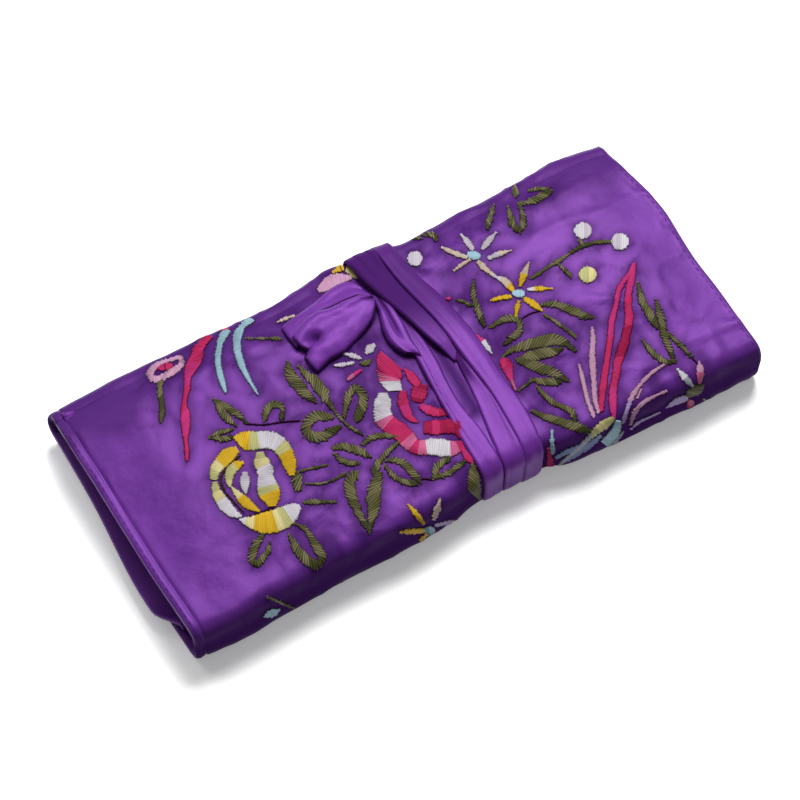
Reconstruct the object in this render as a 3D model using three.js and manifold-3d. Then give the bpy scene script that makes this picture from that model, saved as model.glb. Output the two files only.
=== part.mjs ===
// Jewelry roll: a padded satin sheet in three panels, folded in three like a letter and tied
// shut with its own satin strap. Millimetres, +X along the roll, +Y to its back, +Z up.
// The outer flap lies on the table, the middle panel is the top, and the inner flap lies between.
import * as THREE from "three";
import { mergeVertices } from "three/addons/utils/BufferGeometryUtils.js";
import Module from "manifold-3d";

const wasm = await Module();
wasm.setup();

// The roll.
const rollLength = 200;
const rollDepth = 94;
const clearance = 0.25;
const endLength = 24;
const hemWidth = 2.4;
const hemStep = 0.2;

// Cloth and padding.
const shellThickness = 0.45;
const liningThickness = 0.35;
const pocketThickness = 0.25;
const foldThickness = 1.1;
const outerPadding = 0.5;
const innerPadding = 0.6;
const middlePadding = 0.5;

// The two folds.
const frontFoldDepth = 9;
const backFoldDepth = 5.5;

// The crown of the top panel and its fall at both ends.
const crownHeight = 2.2;
const crownSide = 0.8;
const endFall = 1.2;
const endFallMiddle = 1.5;
const endFallInner = 1.4;
const outerEndShare = 0.9;
const outerFlapBack = 3.5;
const innerFlapFront = 11;

// The strap, and the waist that it draws in.
const tieX = 13.5;
const strapWidth = 5.6;
const strapThickness = 1.2;
const strapGap = 0.6;
const strapTurns = 3;
const waistPinch = 3.6;
const waistReach = 25;
const tailWidth = 8.5;
const strapEase = 0.15;
const windingEnd = strapTurns - 0.25;
const strapPitch = strapWidth + strapGap;
const strapHalf = (windingEnd * strapPitch + strapWidth) / 2;

// The zip fasteners.
const zipLengthShare = 0.66;
const zipHalfLength = (rollLength * zipLengthShare) / 2;
const toothPitch = 3.6;
const toothReach = 2.4;
const toothNeck = 0.75;
const toothHead = 1.15;
const toothHeight = 0.8;
const combBack = 0.5;
const combHalfWidth = 2.1;
const tapeWidth = 3.3;
const tapeThickness = 0.3;
const tapeEnd = 7;
const plateThickness = 0.3;
const plateClearance = 0.12;
const sliderLength = 9;
const sliderWidth = 7.2;
const sliderNeck = 4.6;
const diamondLength = 2.2;
const diamondWidth = 1.6;
const bailHeight = 1.4;
const bailLength = 4.2;
const bailWidth = 1.6;
const bailWall = 0.45;
const pullLength = 9.5;
const pullWidth = 3.6;
const pullThickness = 0.5;
const pullEyeLength = 3.4;
const pullEyeWidth = 2.1;
const pullTipShare = 0.8;
const stopLength = 1.4;
const stopWidth = 1.6;
const stopHeight = 1.2;
const slitClearance = 0.3;
const outerZipY = 4;
const middleZipY = -30;
const innerGapAbovePull = 1.6;

// The ring bar.
const barLengthShare = 0.64;
const barLength = rollLength * barLengthShare;
const barWidth = 16;
const barHeight = 4.4;
const barY = 28;
const barPivotInset = 34;
const barPivotX = barPivotInset - rollLength / 2;
const barEndTaper = 10;
const barEndShare = 0.55;
const tongueLength = 14;
const tongueWidth = 11;
const tongueThickness = 1.1;
const padThickness = 0.5;
const padLength = 10;
const padWidth = 9;
const tabLength = 9;
const tabWidth = 9;
const tabThickness = 0.8;

// The slip pocket on the inner flap.
const slipPocketInset = 12;
const slipPocketLength = rollLength - 2 * slipPocketInset;
const slipPocketDepth = 46;

// Levels of the layers under the middle of the roll, from the table up.
const halfLength = rollLength / 2;
const halfDepth = rollDepth / 2;
const recess = strapThickness + clearance + strapEase + hemStep;
const outerPaddingTop = recess + shellThickness + clearance + outerPadding;
const outerPocketLow = outerPaddingTop + clearance;
const backPlateLow = outerPocketLow + pocketThickness + clearance;
const chainLow = backPlateLow + plateThickness + plateClearance;
const outerChainMid = chainLow + toothHeight / 2;
const chainToFace = toothHeight / 2 + plateClearance + plateThickness;
const outerLiningLow = outerChainMid - liningThickness / 2;
const innerShellLow = outerChainMid + chainToFace + hemStep + pullThickness + innerGapAbovePull;
const innerPaddingLow = innerShellLow + shellThickness + clearance;
const innerLiningLow = innerPaddingLow + innerPadding + clearance;
const slipPocketLow = innerLiningLow + liningThickness + clearance;
const barLow = slipPocketLow + pocketThickness + clearance;
const middleLiningLow = barLow + barHeight + clearance;
const middleChainMid = middleLiningLow + liningThickness / 2;
const middlePocketLow = middleChainMid + chainToFace + clearance;
const middlePaddingLow = middlePocketLow + pocketThickness + clearance;
const middleTop = middlePaddingLow + middlePadding + clearance + shellThickness;
const frontEdge = -halfDepth + frontFoldDepth;
const backEdge = halfDepth - backFoldDepth;

// Shares of how the layers fall at the ends of the roll.
const smooth = (t) => {
  const s = Math.min(1, Math.max(0, t));
  return s * s * (3 - 2 * s);
};
const mix = (a, b, t) => a + (b - a) * t;
const endShare = (x) => smooth((Math.abs(x) - (halfLength - endLength)) / endLength);
const waistShare = (x) => 1 - smooth((Math.abs(x - tieX) - strapHalf) / (waistReach - strapHalf));

// Where cloth near an edge is drawn in by the strap.
const pinched = (x, y) => {
  const share = smooth((Math.abs(y) / halfDepth - 0.5) * 2);
  return y - Math.sign(y) * waistPinch * waistShare(x) * share;
};

// The underside of the outer flap, and the top of the middle panel.
const undersideAt = (x) => recess * waistShare(x);
const topAt = (x, y) => {
  const across = Math.max(-1, Math.min(1, (2 * y) / (backEdge - frontEdge)));
  const loose = 1 - waistShare(x);
  const crown = (crownSide + (crownHeight - crownSide) * (1 - across * across)) * loose;
  return middleTop + crown * (1 - endShare(x)) + crownSide * loose * endShare(x)
    - endFall * endShare(x);
};
const outerLevel = (low, x) => mix(low, low - recess * outerEndShare, endShare(x));
const innerLevel = (low, x) => low - endFallInner * endShare(x);
const middleLevel = (low, x) => low - endFallMiddle * endShare(x);

// Grid stations along the roll, close together at the hems and at the waist.
const hemLine = halfLength - hemWidth;
const leftShares = [-1, -0.86, -0.72, -0.5, -0.28];
const waistShares = [-1, -0.72, -0.45, 0.45, 0.72, 1];
const rightShares = [0.55, 0.72, 0.86, 1];
const stations = (inset) => {
  const places = leftShares.map((share) => share * hemLine);
  const waist = waistShares.map((share) => tieX + share * waistReach);
  const right = rightShares.map((share) => share * hemLine);
  const inner = [...places, ...waist, ...right];
  if (inset) {
    inner[0] += clearance;
    inner[inner.length - 1] -= clearance;
    return inner;
  }
  return [-halfLength, -hemLine - hemStep, ...inner, hemLine + hemStep, halfLength];
};
const rows = (from, to, count) =>
  Array.from({ length: count + 1 }, (_, i) => mix(from, to, i / count));

// A closed solid between two grids of points: outward(u, v) and inward(u, v).
function gridSolid(us, vs, outward, inward) {
  const points = [];
  const faces = [];
  const wide = us.length;
  const tall = vs.length;
  for (const surface of [outward, inward])
    for (const v of vs) for (const u of us) points.push(...surface(u, v));
  const at = (side, i, j) => side * wide * tall + j * wide + i;
  const quad = (a, b, c, d) => faces.push(a, b, c, a, c, d);
  for (let j = 0; j < tall - 1; j++)
    for (let i = 0; i < wide - 1; i++) {
      quad(at(0, i, j), at(0, i + 1, j), at(0, i + 1, j + 1), at(0, i, j + 1));
      quad(at(1, i, j), at(1, i, j + 1), at(1, i + 1, j + 1), at(1, i + 1, j));
    }
  for (let i = 0; i < wide - 1; i++) {
    quad(at(1, i, 0), at(1, i + 1, 0), at(0, i + 1, 0), at(0, i, 0));
    quad(at(0, i, tall - 1), at(0, i + 1, tall - 1), at(1, i + 1, tall - 1), at(1, i, tall - 1));
  }
  for (let j = 0; j < tall - 1; j++) {
    quad(at(0, 0, j), at(0, 0, j + 1), at(1, 0, j + 1), at(1, 0, j));
    quad(at(1, wide - 1, j), at(1, wide - 1, j + 1), at(0, wide - 1, j + 1), at(0, wide - 1, j));
  }
  const geometry = new THREE.BufferGeometry();
  geometry.setAttribute("position", new THREE.Float32BufferAttribute(points, 3));
  geometry.setIndex(faces);
  return geometry;
}

// A closed tube through rings of points, each ring turning right-handed about the way it runs.
function tube(rings) {
  const around = rings[0].length;
  const points = rings.flat(2);
  const faces = [];
  for (let i = 0; i < rings.length - 1; i++)
    for (let k = 0; k < around; k++) {
      const next = (k + 1) % around;
      const a = i * around;
      const b = a + around;
      faces.push(a + k, a + next, b + next, a + k, b + next, b + k);
    }
  const last = (rings.length - 1) * around;
  for (let k = 1; k < around - 1; k++)
    faces.push(0, k + 1, k, last, last + k, last + k + 1);
  const geometry = new THREE.BufferGeometry();
  geometry.setAttribute("position", new THREE.Float32BufferAttribute(points, 3));
  geometry.setIndex(faces);
  return geometry;
}

// Materials.
const cloth = (colour, roughness) =>
  new THREE.MeshStandardMaterial({ color: colour, roughness, metalness: 0 });
const satin = cloth(0x6a34a0, 0.4);
const strapSatin = cloth(0x7440ac, 0.38);
const lining = cloth(0x5b2c8c, 0.45);
const padding = cloth(0xf0ece4, 0.95);
const tapeCloth = cloth(0x4a2376, 0.8);
const coilPlastic = cloth(0x55298a, 0.5);
const hookTape = cloth(0x3c1f60, 0.9);
const nickel = new THREE.MeshStandardMaterial({ color: 0xc9a75a, roughness: 0.3, metalness: 1 });

const roll = new THREE.Group();
function add(name, geometry, material, parent = roll) {
  const mesh = new THREE.Mesh(geometry, material);
  mesh.name = name;
  parent.add(mesh);
  return mesh;
}

// One layer of a panel, between two heights, over rows of y. A shell's hem turns over the edge.
function panelLayer(us, vs, low, high) {
  return gridSolid(
    us,
    vs,
    (x, y) => [x, pinched(x, y), high(x, y)],
    (x, y) => [x, pinched(x, y), low(x, y)],
  );
}
const pastHem = (x) => Math.abs(x) > hemLine + hemStep / 2;

// Outer flap: shell, padding, pocket back and lining, from the table up.
const outerBack = halfDepth - outerFlapBack;
const outerHemRow = outerBack - hemWidth;
const panelRowCount = 6;
const outerRows = rows(frontEdge + clearance / 2, outerHemRow, panelRowCount);
const outerLining = (x) => outerLevel(outerLiningLow, x);
add(
  "outer_flap_shell",
  panelLayer(
    stations(false),
    [...outerRows, outerHemRow + hemStep, outerBack],
    (x) => undersideAt(x),
    (x, y) =>
      pastHem(x) || y > outerHemRow + hemStep / 2
        ? outerLining(x) + liningThickness
        : undersideAt(x) + shellThickness,
  ),
  satin,
);
const outerInsetRows = [...outerRows.slice(0, -1), outerHemRow - clearance];
add(
  "outer_flap_padding",
  panelLayer(
    stations(true),
    outerInsetRows,
    (x) => undersideAt(x) + shellThickness + clearance,
    (x) => outerLevel(outerPaddingTop, x),
  ),
  padding,
);

// A flat rectangular plate, optionally with the slit that a zip is set in.
function solidFrom(geometry) {
  const bare = geometry.clone();
  bare.deleteAttribute("normal");
  bare.deleteAttribute("uv");
  const merged = mergeVertices(bare, hemStep / 1000);
  return new wasm.Manifold(
    new wasm.Mesh({
      numProp: 3,
      vertProperties: new Float32Array(merged.attributes.position.array),
      triVerts: new Uint32Array(merged.index.array),
    }),
  );
}
function geometryFrom(solid) {
  const mesh = solid.getMesh();
  const geometry = new THREE.BufferGeometry();
  geometry.setAttribute("position", new THREE.BufferAttribute(mesh.vertProperties, 3));
  geometry.setIndex(new THREE.BufferAttribute(mesh.triVerts, 1));
  return geometry;
}
function box(x0, x1, y0, y1, z0, z1) {
  const geometry = new THREE.BoxGeometry(x1 - x0, y1 - y0, z1 - z0);
  geometry.translate((x0 + x1) / 2, (y0 + y1) / 2, (z0 + z1) / 2);
  return geometry;
}
const slitHalf = combHalfWidth + clearance + tapeWidth + slitClearance;
const slitEnd = zipHalfLength + tapeEnd + slitClearance;
function slit(zipY, z) {
  return box(-slitEnd, slitEnd, zipY - slitHalf, zipY + slitHalf, z - barHeight, z + barHeight);
}
function slitLining(us, vs, low, zipY, z) {
  const whole = panelLayer(us, vs, low, (x, y) => low(x, y) + liningThickness);
  return geometryFrom(solidFrom(whole).subtract(solidFrom(slit(zipY, z))));
}
const pocketHalf = slitEnd + clearance;
add(
  "outer_pocket_back",
  box(
    -pocketHalf, pocketHalf,
    frontEdge + waistPinch, outerHemRow - waistPinch - clearance,
    outerPocketLow, outerPocketLow + pocketThickness,
  ),
  lining,
);
add(
  "outer_flap_lining",
  slitLining(stations(true), outerInsetRows, outerLining, outerZipY, outerChainMid),
  lining,
);

// Middle panel: lining, pocket back, padding and shell, from the inside up.
const middleRows = rows(frontEdge + clearance / 2, backEdge - clearance / 2, panelRowCount + 1);
const middleLining = (x) => middleLevel(middleLiningLow, x);
add(
  "middle_lining",
  slitLining(stations(true), middleRows, middleLining, middleZipY, middleChainMid),
  lining,
);
add(
  "middle_pocket_back",
  box(
    -pocketHalf, pocketHalf,
    frontEdge + waistPinch, backEdge - waistPinch - clearance,
    middlePocketLow, middlePocketLow + pocketThickness,
  ),
  lining,
);
add(
  "middle_padding",
  panelLayer(
    stations(true),
    middleRows,
    (x) => mix(middlePaddingLow, middleLining(x) + liningThickness + clearance, endShare(x)),
    (x, y) => topAt(x, y) - shellThickness - clearance,
  ),
  padding,
);
add(
  "middle_shell",
  panelLayer(
    stations(false),
    middleRows,
    (x, y) => (pastHem(x) ? middleLining(x) : topAt(x, y) - shellThickness),
    topAt,
  ),
  satin,
);

// Inner flap: shell underneath, padding, lining and the slip pocket on it.
const innerFront = -halfDepth + innerFlapFront;
const innerHemRow = innerFront + hemWidth;
const innerRows = rows(innerHemRow, backEdge - clearance / 2, panelRowCount);
const innerShell = (x) => innerLevel(innerShellLow, x);
const innerLining = (x) => innerLevel(innerLiningLow, x);
add(
  "inner_flap_shell",
  panelLayer(
    stations(false),
    [innerFront, innerHemRow - hemStep, ...innerRows],
    innerShell,
    (x, y) =>
      pastHem(x) || y < innerHemRow - hemStep / 2
        ? innerLining(x) + liningThickness
        : innerShell(x) + shellThickness,
  ),
  satin,
);
const innerInsetRows = [innerHemRow + clearance, ...innerRows.slice(1)];
add(
  "inner_flap_padding",
  panelLayer(
    stations(true),
    innerInsetRows,
    (x) => innerLevel(innerPaddingLow, x),
    (x) => innerLevel(innerPaddingLow + innerPadding, x),
  ),
  padding,
);
add(
  "inner_flap_lining",
  panelLayer(
    stations(true),
    innerInsetRows,
    innerLining,
    (x) => innerLining(x) + liningThickness,
  ),
  lining,
);
const slipHalf = slipPocketLength / 2;
const slipStations = [-slipHalf, -(halfLength - endLength), halfLength - endLength, slipHalf];
add(
  "inner_slip_pocket",
  panelLayer(
    slipStations,
    [innerHemRow + clearance, innerHemRow + slipPocketDepth],
    (x) => innerLevel(slipPocketLow, x),
    (x) => innerLevel(slipPocketLow + pocketThickness, x),
  ),
  lining,
);

// The folds: satin and lining sewn together with no padding, so that the sheet can turn.
function foldStrip(edgeY, depth, lowAt, highAt, clearEdge) {
  const steps = 8;
  const arc = (x, v, inset) => {
    const angle = Math.PI * v;
    const low = lowAt(x);
    const high = highAt(x);
    const side = Math.sign(depth);
    const reach = Math.abs(depth) - inset;
    const half = (high - low) / 2;
    const y = edgeY + side * (clearEdge + (reach - clearEdge) * Math.sin(angle));
    const z = low + half + side * (half - inset) * Math.cos(angle);
    return [x, pinched(x, y), z];
  };
  return gridSolid(
    stations(false),
    rows(0, 1, steps),
    (x, v) => arc(x, v, 0),
    (x, v) => arc(x, v, foldThickness),
  );
}
add(
  "front_fold",
  foldStrip(frontEdge, -frontFoldDepth, undersideAt, (x) => topAt(x, frontEdge), clearance / 2),
  satin,
);
add(
  "back_fold",
  foldStrip(backEdge, backFoldDepth, innerShell, (x) => topAt(x, backEdge), clearance / 2),
  satin,
);

// One zip, lying in the XY plane with its face up: its chain's middle is at height 0.
function combShape(side, first, last) {
  const shape = new THREE.Shape();
  const base = side * combHalfWidth;
  const inside = side * (combHalfWidth - combBack);
  const tip = side * (combHalfWidth - combBack - toothReach);
  shape.moveTo(first, base);
  const teeth = [];
  const offset = side > 0 ? toothPitch / 2 : 0;
  for (let x = first + toothPitch / 2 + offset; x < last - toothPitch / 2; x += toothPitch) {
    teeth.push([x - toothNeck / 2, inside]);
    teeth.push([x - toothHead / 2, tip]);
    teeth.push([x + toothHead / 2, tip]);
    teeth.push([x + toothNeck / 2, inside]);
  }
  shape.lineTo(first, inside);
  for (const [x, y] of teeth) shape.lineTo(x, y);
  shape.lineTo(last, inside);
  shape.lineTo(last, base);
  shape.closePath();
  return shape;
}
function extruded(shape, depth) {
  const geometry = new THREE.ExtrudeGeometry(shape, { depth, bevelEnabled: false });
  geometry.translate(0, 0, -depth / 2);
  return geometry;
}

// The slider: two plates that taper to a waist, joined by the wedge that parts the teeth,
// with a bail on the face for the pull.
function plateShape() {
  const long = sliderLength / 2;
  const wide = sliderWidth / 2;
  const narrow = sliderNeck / 2;
  const shape = new THREE.Shape();
  shape.moveTo(-long, -narrow);
  shape.lineTo(0, -narrow);
  shape.quadraticCurveTo(long / 2, -narrow, long / 2, -wide);
  shape.lineTo(long, -wide);
  shape.lineTo(long, wide);
  shape.lineTo(long / 2, wide);
  shape.quadraticCurveTo(long / 2, narrow, 0, narrow);
  shape.lineTo(-long, narrow);
  shape.closePath();
  return shape;
}
function bailGeometry() {
  const shape = new THREE.Shape();
  const long = bailLength / 2;
  const inLong = long - bailWall;
  const inHigh = bailHeight - bailWall;
  shape.moveTo(-long, 0);
  shape.lineTo(-inLong, 0);
  shape.lineTo(-inLong, inHigh);
  shape.lineTo(inLong, inHigh);
  shape.lineTo(inLong, 0);
  shape.lineTo(long, 0);
  shape.lineTo(long, inHigh);
  shape.quadraticCurveTo(long, bailHeight, inLong, bailHeight);
  shape.lineTo(-inLong, bailHeight);
  shape.quadraticCurveTo(-long, bailHeight, -long, inHigh);
  shape.closePath();
  const geometry = new THREE.ExtrudeGeometry(shape, { depth: bailWidth, bevelEnabled: false });
  geometry.rotateX(Math.PI / 2);
  geometry.translate(0, bailWidth / 2, 0);
  return geometry;
}
function sliderSolid() {
  const plate = extruded(plateShape(), plateThickness);
  const lift = toothHeight / 2 + plateClearance + plateThickness / 2;
  const upper = solidFrom(plate.clone().translate(0, 0, lift));
  const lower = solidFrom(plate.clone().translate(0, 0, -lift));
  const wedge = new THREE.Shape();
  const front = sliderLength / 2;
  wedge.moveTo(front - diamondLength, 0);
  wedge.lineTo(front - diamondLength / 2, -diamondWidth / 2);
  wedge.lineTo(front, -diamondWidth / 2);
  wedge.lineTo(front, diamondWidth / 2);
  wedge.lineTo(front - diamondLength / 2, diamondWidth / 2);
  wedge.closePath();
  const post = solidFrom(extruded(wedge, lift * 2));
  const bail = solidFrom(bailGeometry().translate(0, 0, lift));
  return geometryFrom(upper.add(lower).add(post).add(bail));
}

// The pull: a flat tab with an eye round the bail's bar and a round finger end.
function pullSolid() {
  const shape = new THREE.Shape();
  const half = pullWidth / 2;
  const tip = half * pullTipShare;
  const eyeEnd = pullEyeLength + bailWall * 2;
  shape.moveTo(0, -half);
  shape.lineTo(-eyeEnd, -half);
  shape.lineTo(-pullLength + half, -tip);
  shape.absarc(-pullLength + half, 0, tip, -Math.PI / 2, -Math.PI * 1.5, true);
  shape.lineTo(-eyeEnd, half);
  shape.lineTo(0, half);
  shape.closePath();
  const eye = new THREE.Path();
  const near = -bailWall;
  eye.moveTo(near, -pullEyeWidth / 2);
  eye.lineTo(near, pullEyeWidth / 2);
  eye.lineTo(near - pullEyeLength, pullEyeWidth / 2);
  eye.lineTo(near - pullEyeLength, -pullEyeWidth / 2);
  eye.closePath();
  shape.holes.push(eye);
  const geometry = new THREE.ExtrudeGeometry(shape, {
    depth: pullThickness,
    bevelEnabled: false,
    curveSegments: 6,
  });
  return geometry;
}
function addZip(prefix, zipY, z, turned) {
  const zip = new THREE.Group();
  zip.position.set(0, zipY, z);
  zip.rotation.x = turned ? Math.PI : 0;
  roll.add(zip);
  const closed = zipHalfLength - sliderLength / 2;
  const combEnd = closed + sliderLength / 2 - diamondLength - clearance;
  for (const [name, side] of [["front", -1], ["back", 1]]) {
    add(
      prefix + "_zip_teeth_" + name,
      extruded(combShape(side, -zipHalfLength, combEnd), toothHeight),
      coilPlastic,
      zip,
    );
    const near = side * (combHalfWidth + clearance);
    const far = side * (combHalfWidth + clearance + tapeWidth);
    add(
      prefix + "_zip_tape_" + name,
      box(
        -zipHalfLength - tapeEnd, zipHalfLength + tapeEnd,
        Math.min(near, far), Math.max(near, far),
        -tapeThickness / 2, tapeThickness / 2,
      ),
      tapeCloth,
      zip,
    );
    const stopIn = side * (diamondWidth / 2 + clearance);
    const stopOut = side * (diamondWidth / 2 + clearance + stopWidth / 2);
    add(
      prefix + "_zip_top_stop_" + name,
      box(
        zipHalfLength + clearance, zipHalfLength + clearance + stopLength,
        Math.min(stopIn, stopOut), Math.max(stopIn, stopOut),
        -stopHeight / 2, stopHeight / 2,
      ),
      nickel,
      zip,
    );
  }
  add(
    prefix + "_zip_bottom_stop",
    box(
      -zipHalfLength - clearance - stopLength, -zipHalfLength - clearance,
      -combHalfWidth, combHalfWidth,
      -stopHeight / 2, stopHeight / 2,
    ),
    nickel,
    zip,
  );
  add(prefix + "_zip_slider", sliderSolid(), nickel, zip).position.x = closed;
  const pull = add(prefix + "_zip_pull", pullSolid(), nickel, zip);
  pull.position.set(closed + bailLength / 2 - bailWall * 2, 0, chainToFace + hemStep);
  return closed;
}
addZip("outer", outerZipY, outerChainMid, false);
addZip("middle", middleZipY, middleChainMid, true);

// The ring bar: a padded satin roll, sewn to the lining at its left end by a tab, with a flat
// tongue at its free end that a touch fastener holds.
function ringBar() {
  const sections = 14;
  const around = 12;
  const rings = [];
  const top = middleLiningLow - clearance;
  const axisZ = top - barHeight / 2;
  const start = barPivotX + clearance;
  for (let i = 0; i <= sections; i++) {
    const x = mix(start, barLength + barPivotX, i / sections);
    const nearEnd = Math.min(x - start, barLength + barPivotX - x) / barEndTaper;
    const swell = mix(barEndShare, 1, Math.sqrt(smooth(nearEnd)));
    const ring = [];
    for (let k = 0; k < around; k++) {
      const angle = (k / around) * Math.PI * 2;
      const y = (Math.cos(angle) * swell * barWidth) / 2;
      const z = Math.sign(Math.sin(angle)) * Math.sqrt(Math.abs(Math.sin(angle)));
      ring.push([x, barY + y, axisZ + (z * swell * barHeight) / 2]);
    }
    rings.push(ring);
  }
  const geometry = tube(rings);
  const tongue = box(
    barLength + barPivotX - tongueLength / 2, barLength + barPivotX + tongueLength,
    barY - tongueWidth / 2, barY + tongueWidth / 2,
    axisZ - tongueThickness / 2, axisZ + tongueThickness / 2,
  );
  return geometryFrom(solidFrom(geometry).add(solidFrom(tongue)));
}
const barMid = middleLiningLow - clearance - barHeight / 2;
const hookHigh = barMid + tongueThickness / 2 + clearance + padThickness;
const padStart = barLength + barPivotX + clearance * 2;
const padBox = (z) =>
  box(
    padStart, padStart + padLength,
    barY - padWidth / 2, barY + padWidth / 2,
    z - padThickness, z,
  );
add("ring_bar", ringBar(), satin);
add("ring_bar_hook_pad", padBox(hookHigh), hookTape);
add("ring_bar_loop_pad", padBox(middleLiningLow - clearance), hookTape);
add(
  "ring_bar_tab",
  box(
    barPivotX - tabLength, barPivotX,
    barY - tabWidth / 2, barY + tabWidth / 2,
    middleLiningLow - clearance - tabThickness, middleLiningLow - clearance,
  ),
  satin,
);

// The strap: one unbroken flat tube, wound round the waist. A turn starts at the lower back
// corner, runs forward under the roll, up the front fold and back over the top.
const loopOut = clearance + strapEase + strapThickness / 2;
const loopLow = recess - loopOut;
const loopHigh = middleTop + loopOut;
const loopFront = -halfDepth + waistPinch - loopOut;
const loopBack = -loopFront;
const capFront = frontFoldDepth + loopOut;
const capBack = 8;
const backSquareness = 3.6;
function loopPoint(u) {
  const half = (loopHigh - loopLow) / 2;
  const middle = loopLow + half;
  const frontStart = loopFront + capFront;
  const backStart = loopBack - capBack;
  const part = Math.floor(u * 4);
  const share = u * 4 - part;
  const turn = share * Math.PI;
  if (part === 0) return [mix(backStart, frontStart, share), loopLow];
  if (part === 1)
    return [frontStart - capFront * Math.sin(turn), middle - half * Math.cos(turn)];
  if (part === 2) return [mix(frontStart, backStart, share), loopHigh];
  const side = Math.pow(Math.sin(turn), 2 / backSquareness);
  const rise = Math.sign(Math.cos(turn)) * Math.pow(Math.abs(Math.cos(turn)), 2 / backSquareness);
  return [backStart + capBack * side, middle + half * rise];
}
const stepsPerTurn = 32;
function windingPoints() {
  const points = [];
  const count = Math.round(windingEnd * stepsPerTurn);
  for (let i = 0; i <= count; i++) {
    const t = i / stepsPerTurn;
    const [y, z] = loopPoint(t % 1);
    points.push(new THREE.Vector3(tieX + (t - windingEnd / 2) * strapPitch, y, z));
  }
  return points;
}
const windingLine = windingPoints();
const flatShare = 0.85;
const strapSection = [
  [-1, 0],
  [-flatShare, 1],
  [flatShare, 1],
  [1, 0],
  [flatShare, -1],
  [-flatShare, -1],
];
function strapSolid(line) {
  const rings = line.map((p, i) => {
    const before = line[Math.max(0, i - 1)];
    const after = line[Math.min(line.length - 1, i + 1)];
    const along = after.clone().sub(before);
    const out = new THREE.Vector3(0, -along.z, along.y).normalize();
    return strapSection.map(([across, up]) => [
      p.x + (across * strapWidth) / 2,
      p.y + (up * out.y * strapThickness) / 2,
      p.z + (up * out.z * strapThickness) / 2,
    ]);
  });
  return tube(rings);
}
add("tie_winding", strapSolid(windingLine), strapSatin);

// The least gap of the winding to itself, between points half a turn or more apart.
function leastGap(line) {
  let least = Infinity;
  line.forEach((a, i) => {
    for (let k = i + stepsPerTurn / 2; k < line.length; k++) {
      const b = line[k];
      const across = Math.abs(a.x - b.x) - strapWidth;
      const apart = Math.hypot(a.y - b.y, a.z - b.z) - strapThickness;
      least = Math.min(least, Math.max(across, apart));
    }
  });
  return least;
}
console.log("least gap of the winding to itself " + leastGap(windingLine).toFixed(2) + " mm");

// The strap's last pass: it crosses the others from the waist to the back, over their top.
const tailLow = loopHigh + strapThickness / 2 + clearance;
const tailStartXShare = 0.3;
const tailStartYShare = -0.06;
const tailInShare = 0.5;
const tailNarrowShare = 0.45;
const tailBendPower = 1.3;
const tailColumns = 3;
const tailRowCount = 6;
const tailEndX = tieX - strapHalf + tailInShare * tailWidth;
const tailRise = 0.9;
function tailSolid() {
  const startX = tieX + tailStartXShare * strapHalf;
  const startY = tailStartYShare * halfDepth;
  const endY = loopBack - capBack / 2;
  return gridSolid(
    rows(-tailWidth / 2, tailWidth / 2, tailColumns),
    rows(0, 1, tailRowCount),
    (w, t) => tailPoint(w, t, strapThickness),
    (w, t) => tailPoint(w, t, 0),
  );
  function tailPoint(w, t, lift) {
    const x = mix(startX, tailEndX, Math.pow(t, tailBendPower)) + w * mix(tailNarrowShare, 1, t);
    const fold = tailRise * (1 - (2 * w / tailWidth) ** 2) * t;
    return [x, mix(startY, endY, t), tailLow + lift + fold];
  }
}
add("tie_tail", tailSolid(), strapSatin);

// The strap's loose end, opened out on the roll to the left of the winding.
const looseLength = 30;
const looseWidth = 24;
const looseLift = 3.2;
const looseStartShare = 0.15;
const looseSlantShare = 0.15;
const looseWaveShare = 0.4;
const looseWaves = 9;
const looseFlatShare = 0.5;
const looseThickness = 0.96;
const looseRowCount = 7;
const looseEndX = tailEndX - tailWidth / 2 - clearance * 2;
const looseY = 24;
function looseSolid() {
  const point = (s, w, lift) => {
    const spread = mix(tailNarrowShare, 1, smooth(s * 2));
    const x = looseEndX - s * looseLength;
    const y = looseY + w * looseWidth * spread + s * looseLength * looseSlantShare;
    const arch = Math.sin(Math.PI * Math.min(1, s + looseStartShare));
    const wave = 1 - looseWaveShare * (1 - Math.cos(w * looseWaves));
    const under = topAt(x, y) + clearance + hemStep / 2;
    return [x, y, under + looseLift * arch * wave * (1 - s * looseFlatShare) + lift];
  };
  return gridSolid(
    rows(0, 1, looseRowCount),
    rows(1 / 2, -1 / 2, panelRowCount),
    (s, w) => point(s, w, looseThickness),
    (s, w) => point(s, w, 0),
  );
}
add("tie_loose_end", looseSolid(), strapSatin);

export default roll;
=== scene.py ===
# Jewelry roll: a padded satin sheet in three panels, folded in three like a letter and tied shut
# with its own satin strap. Sizes are in millimetres and turned into metres where a mesh is made.
# Embroidery is placed by where it lies in the photo, in photo pixels of 800 by 800.
import math
import random

import bmesh
import bpy
import numpy as np
from mathutils import Matrix, Vector, noise
from mathutils.bvhtree import BVHTree
from mathutils.kdtree import KDTree


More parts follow.
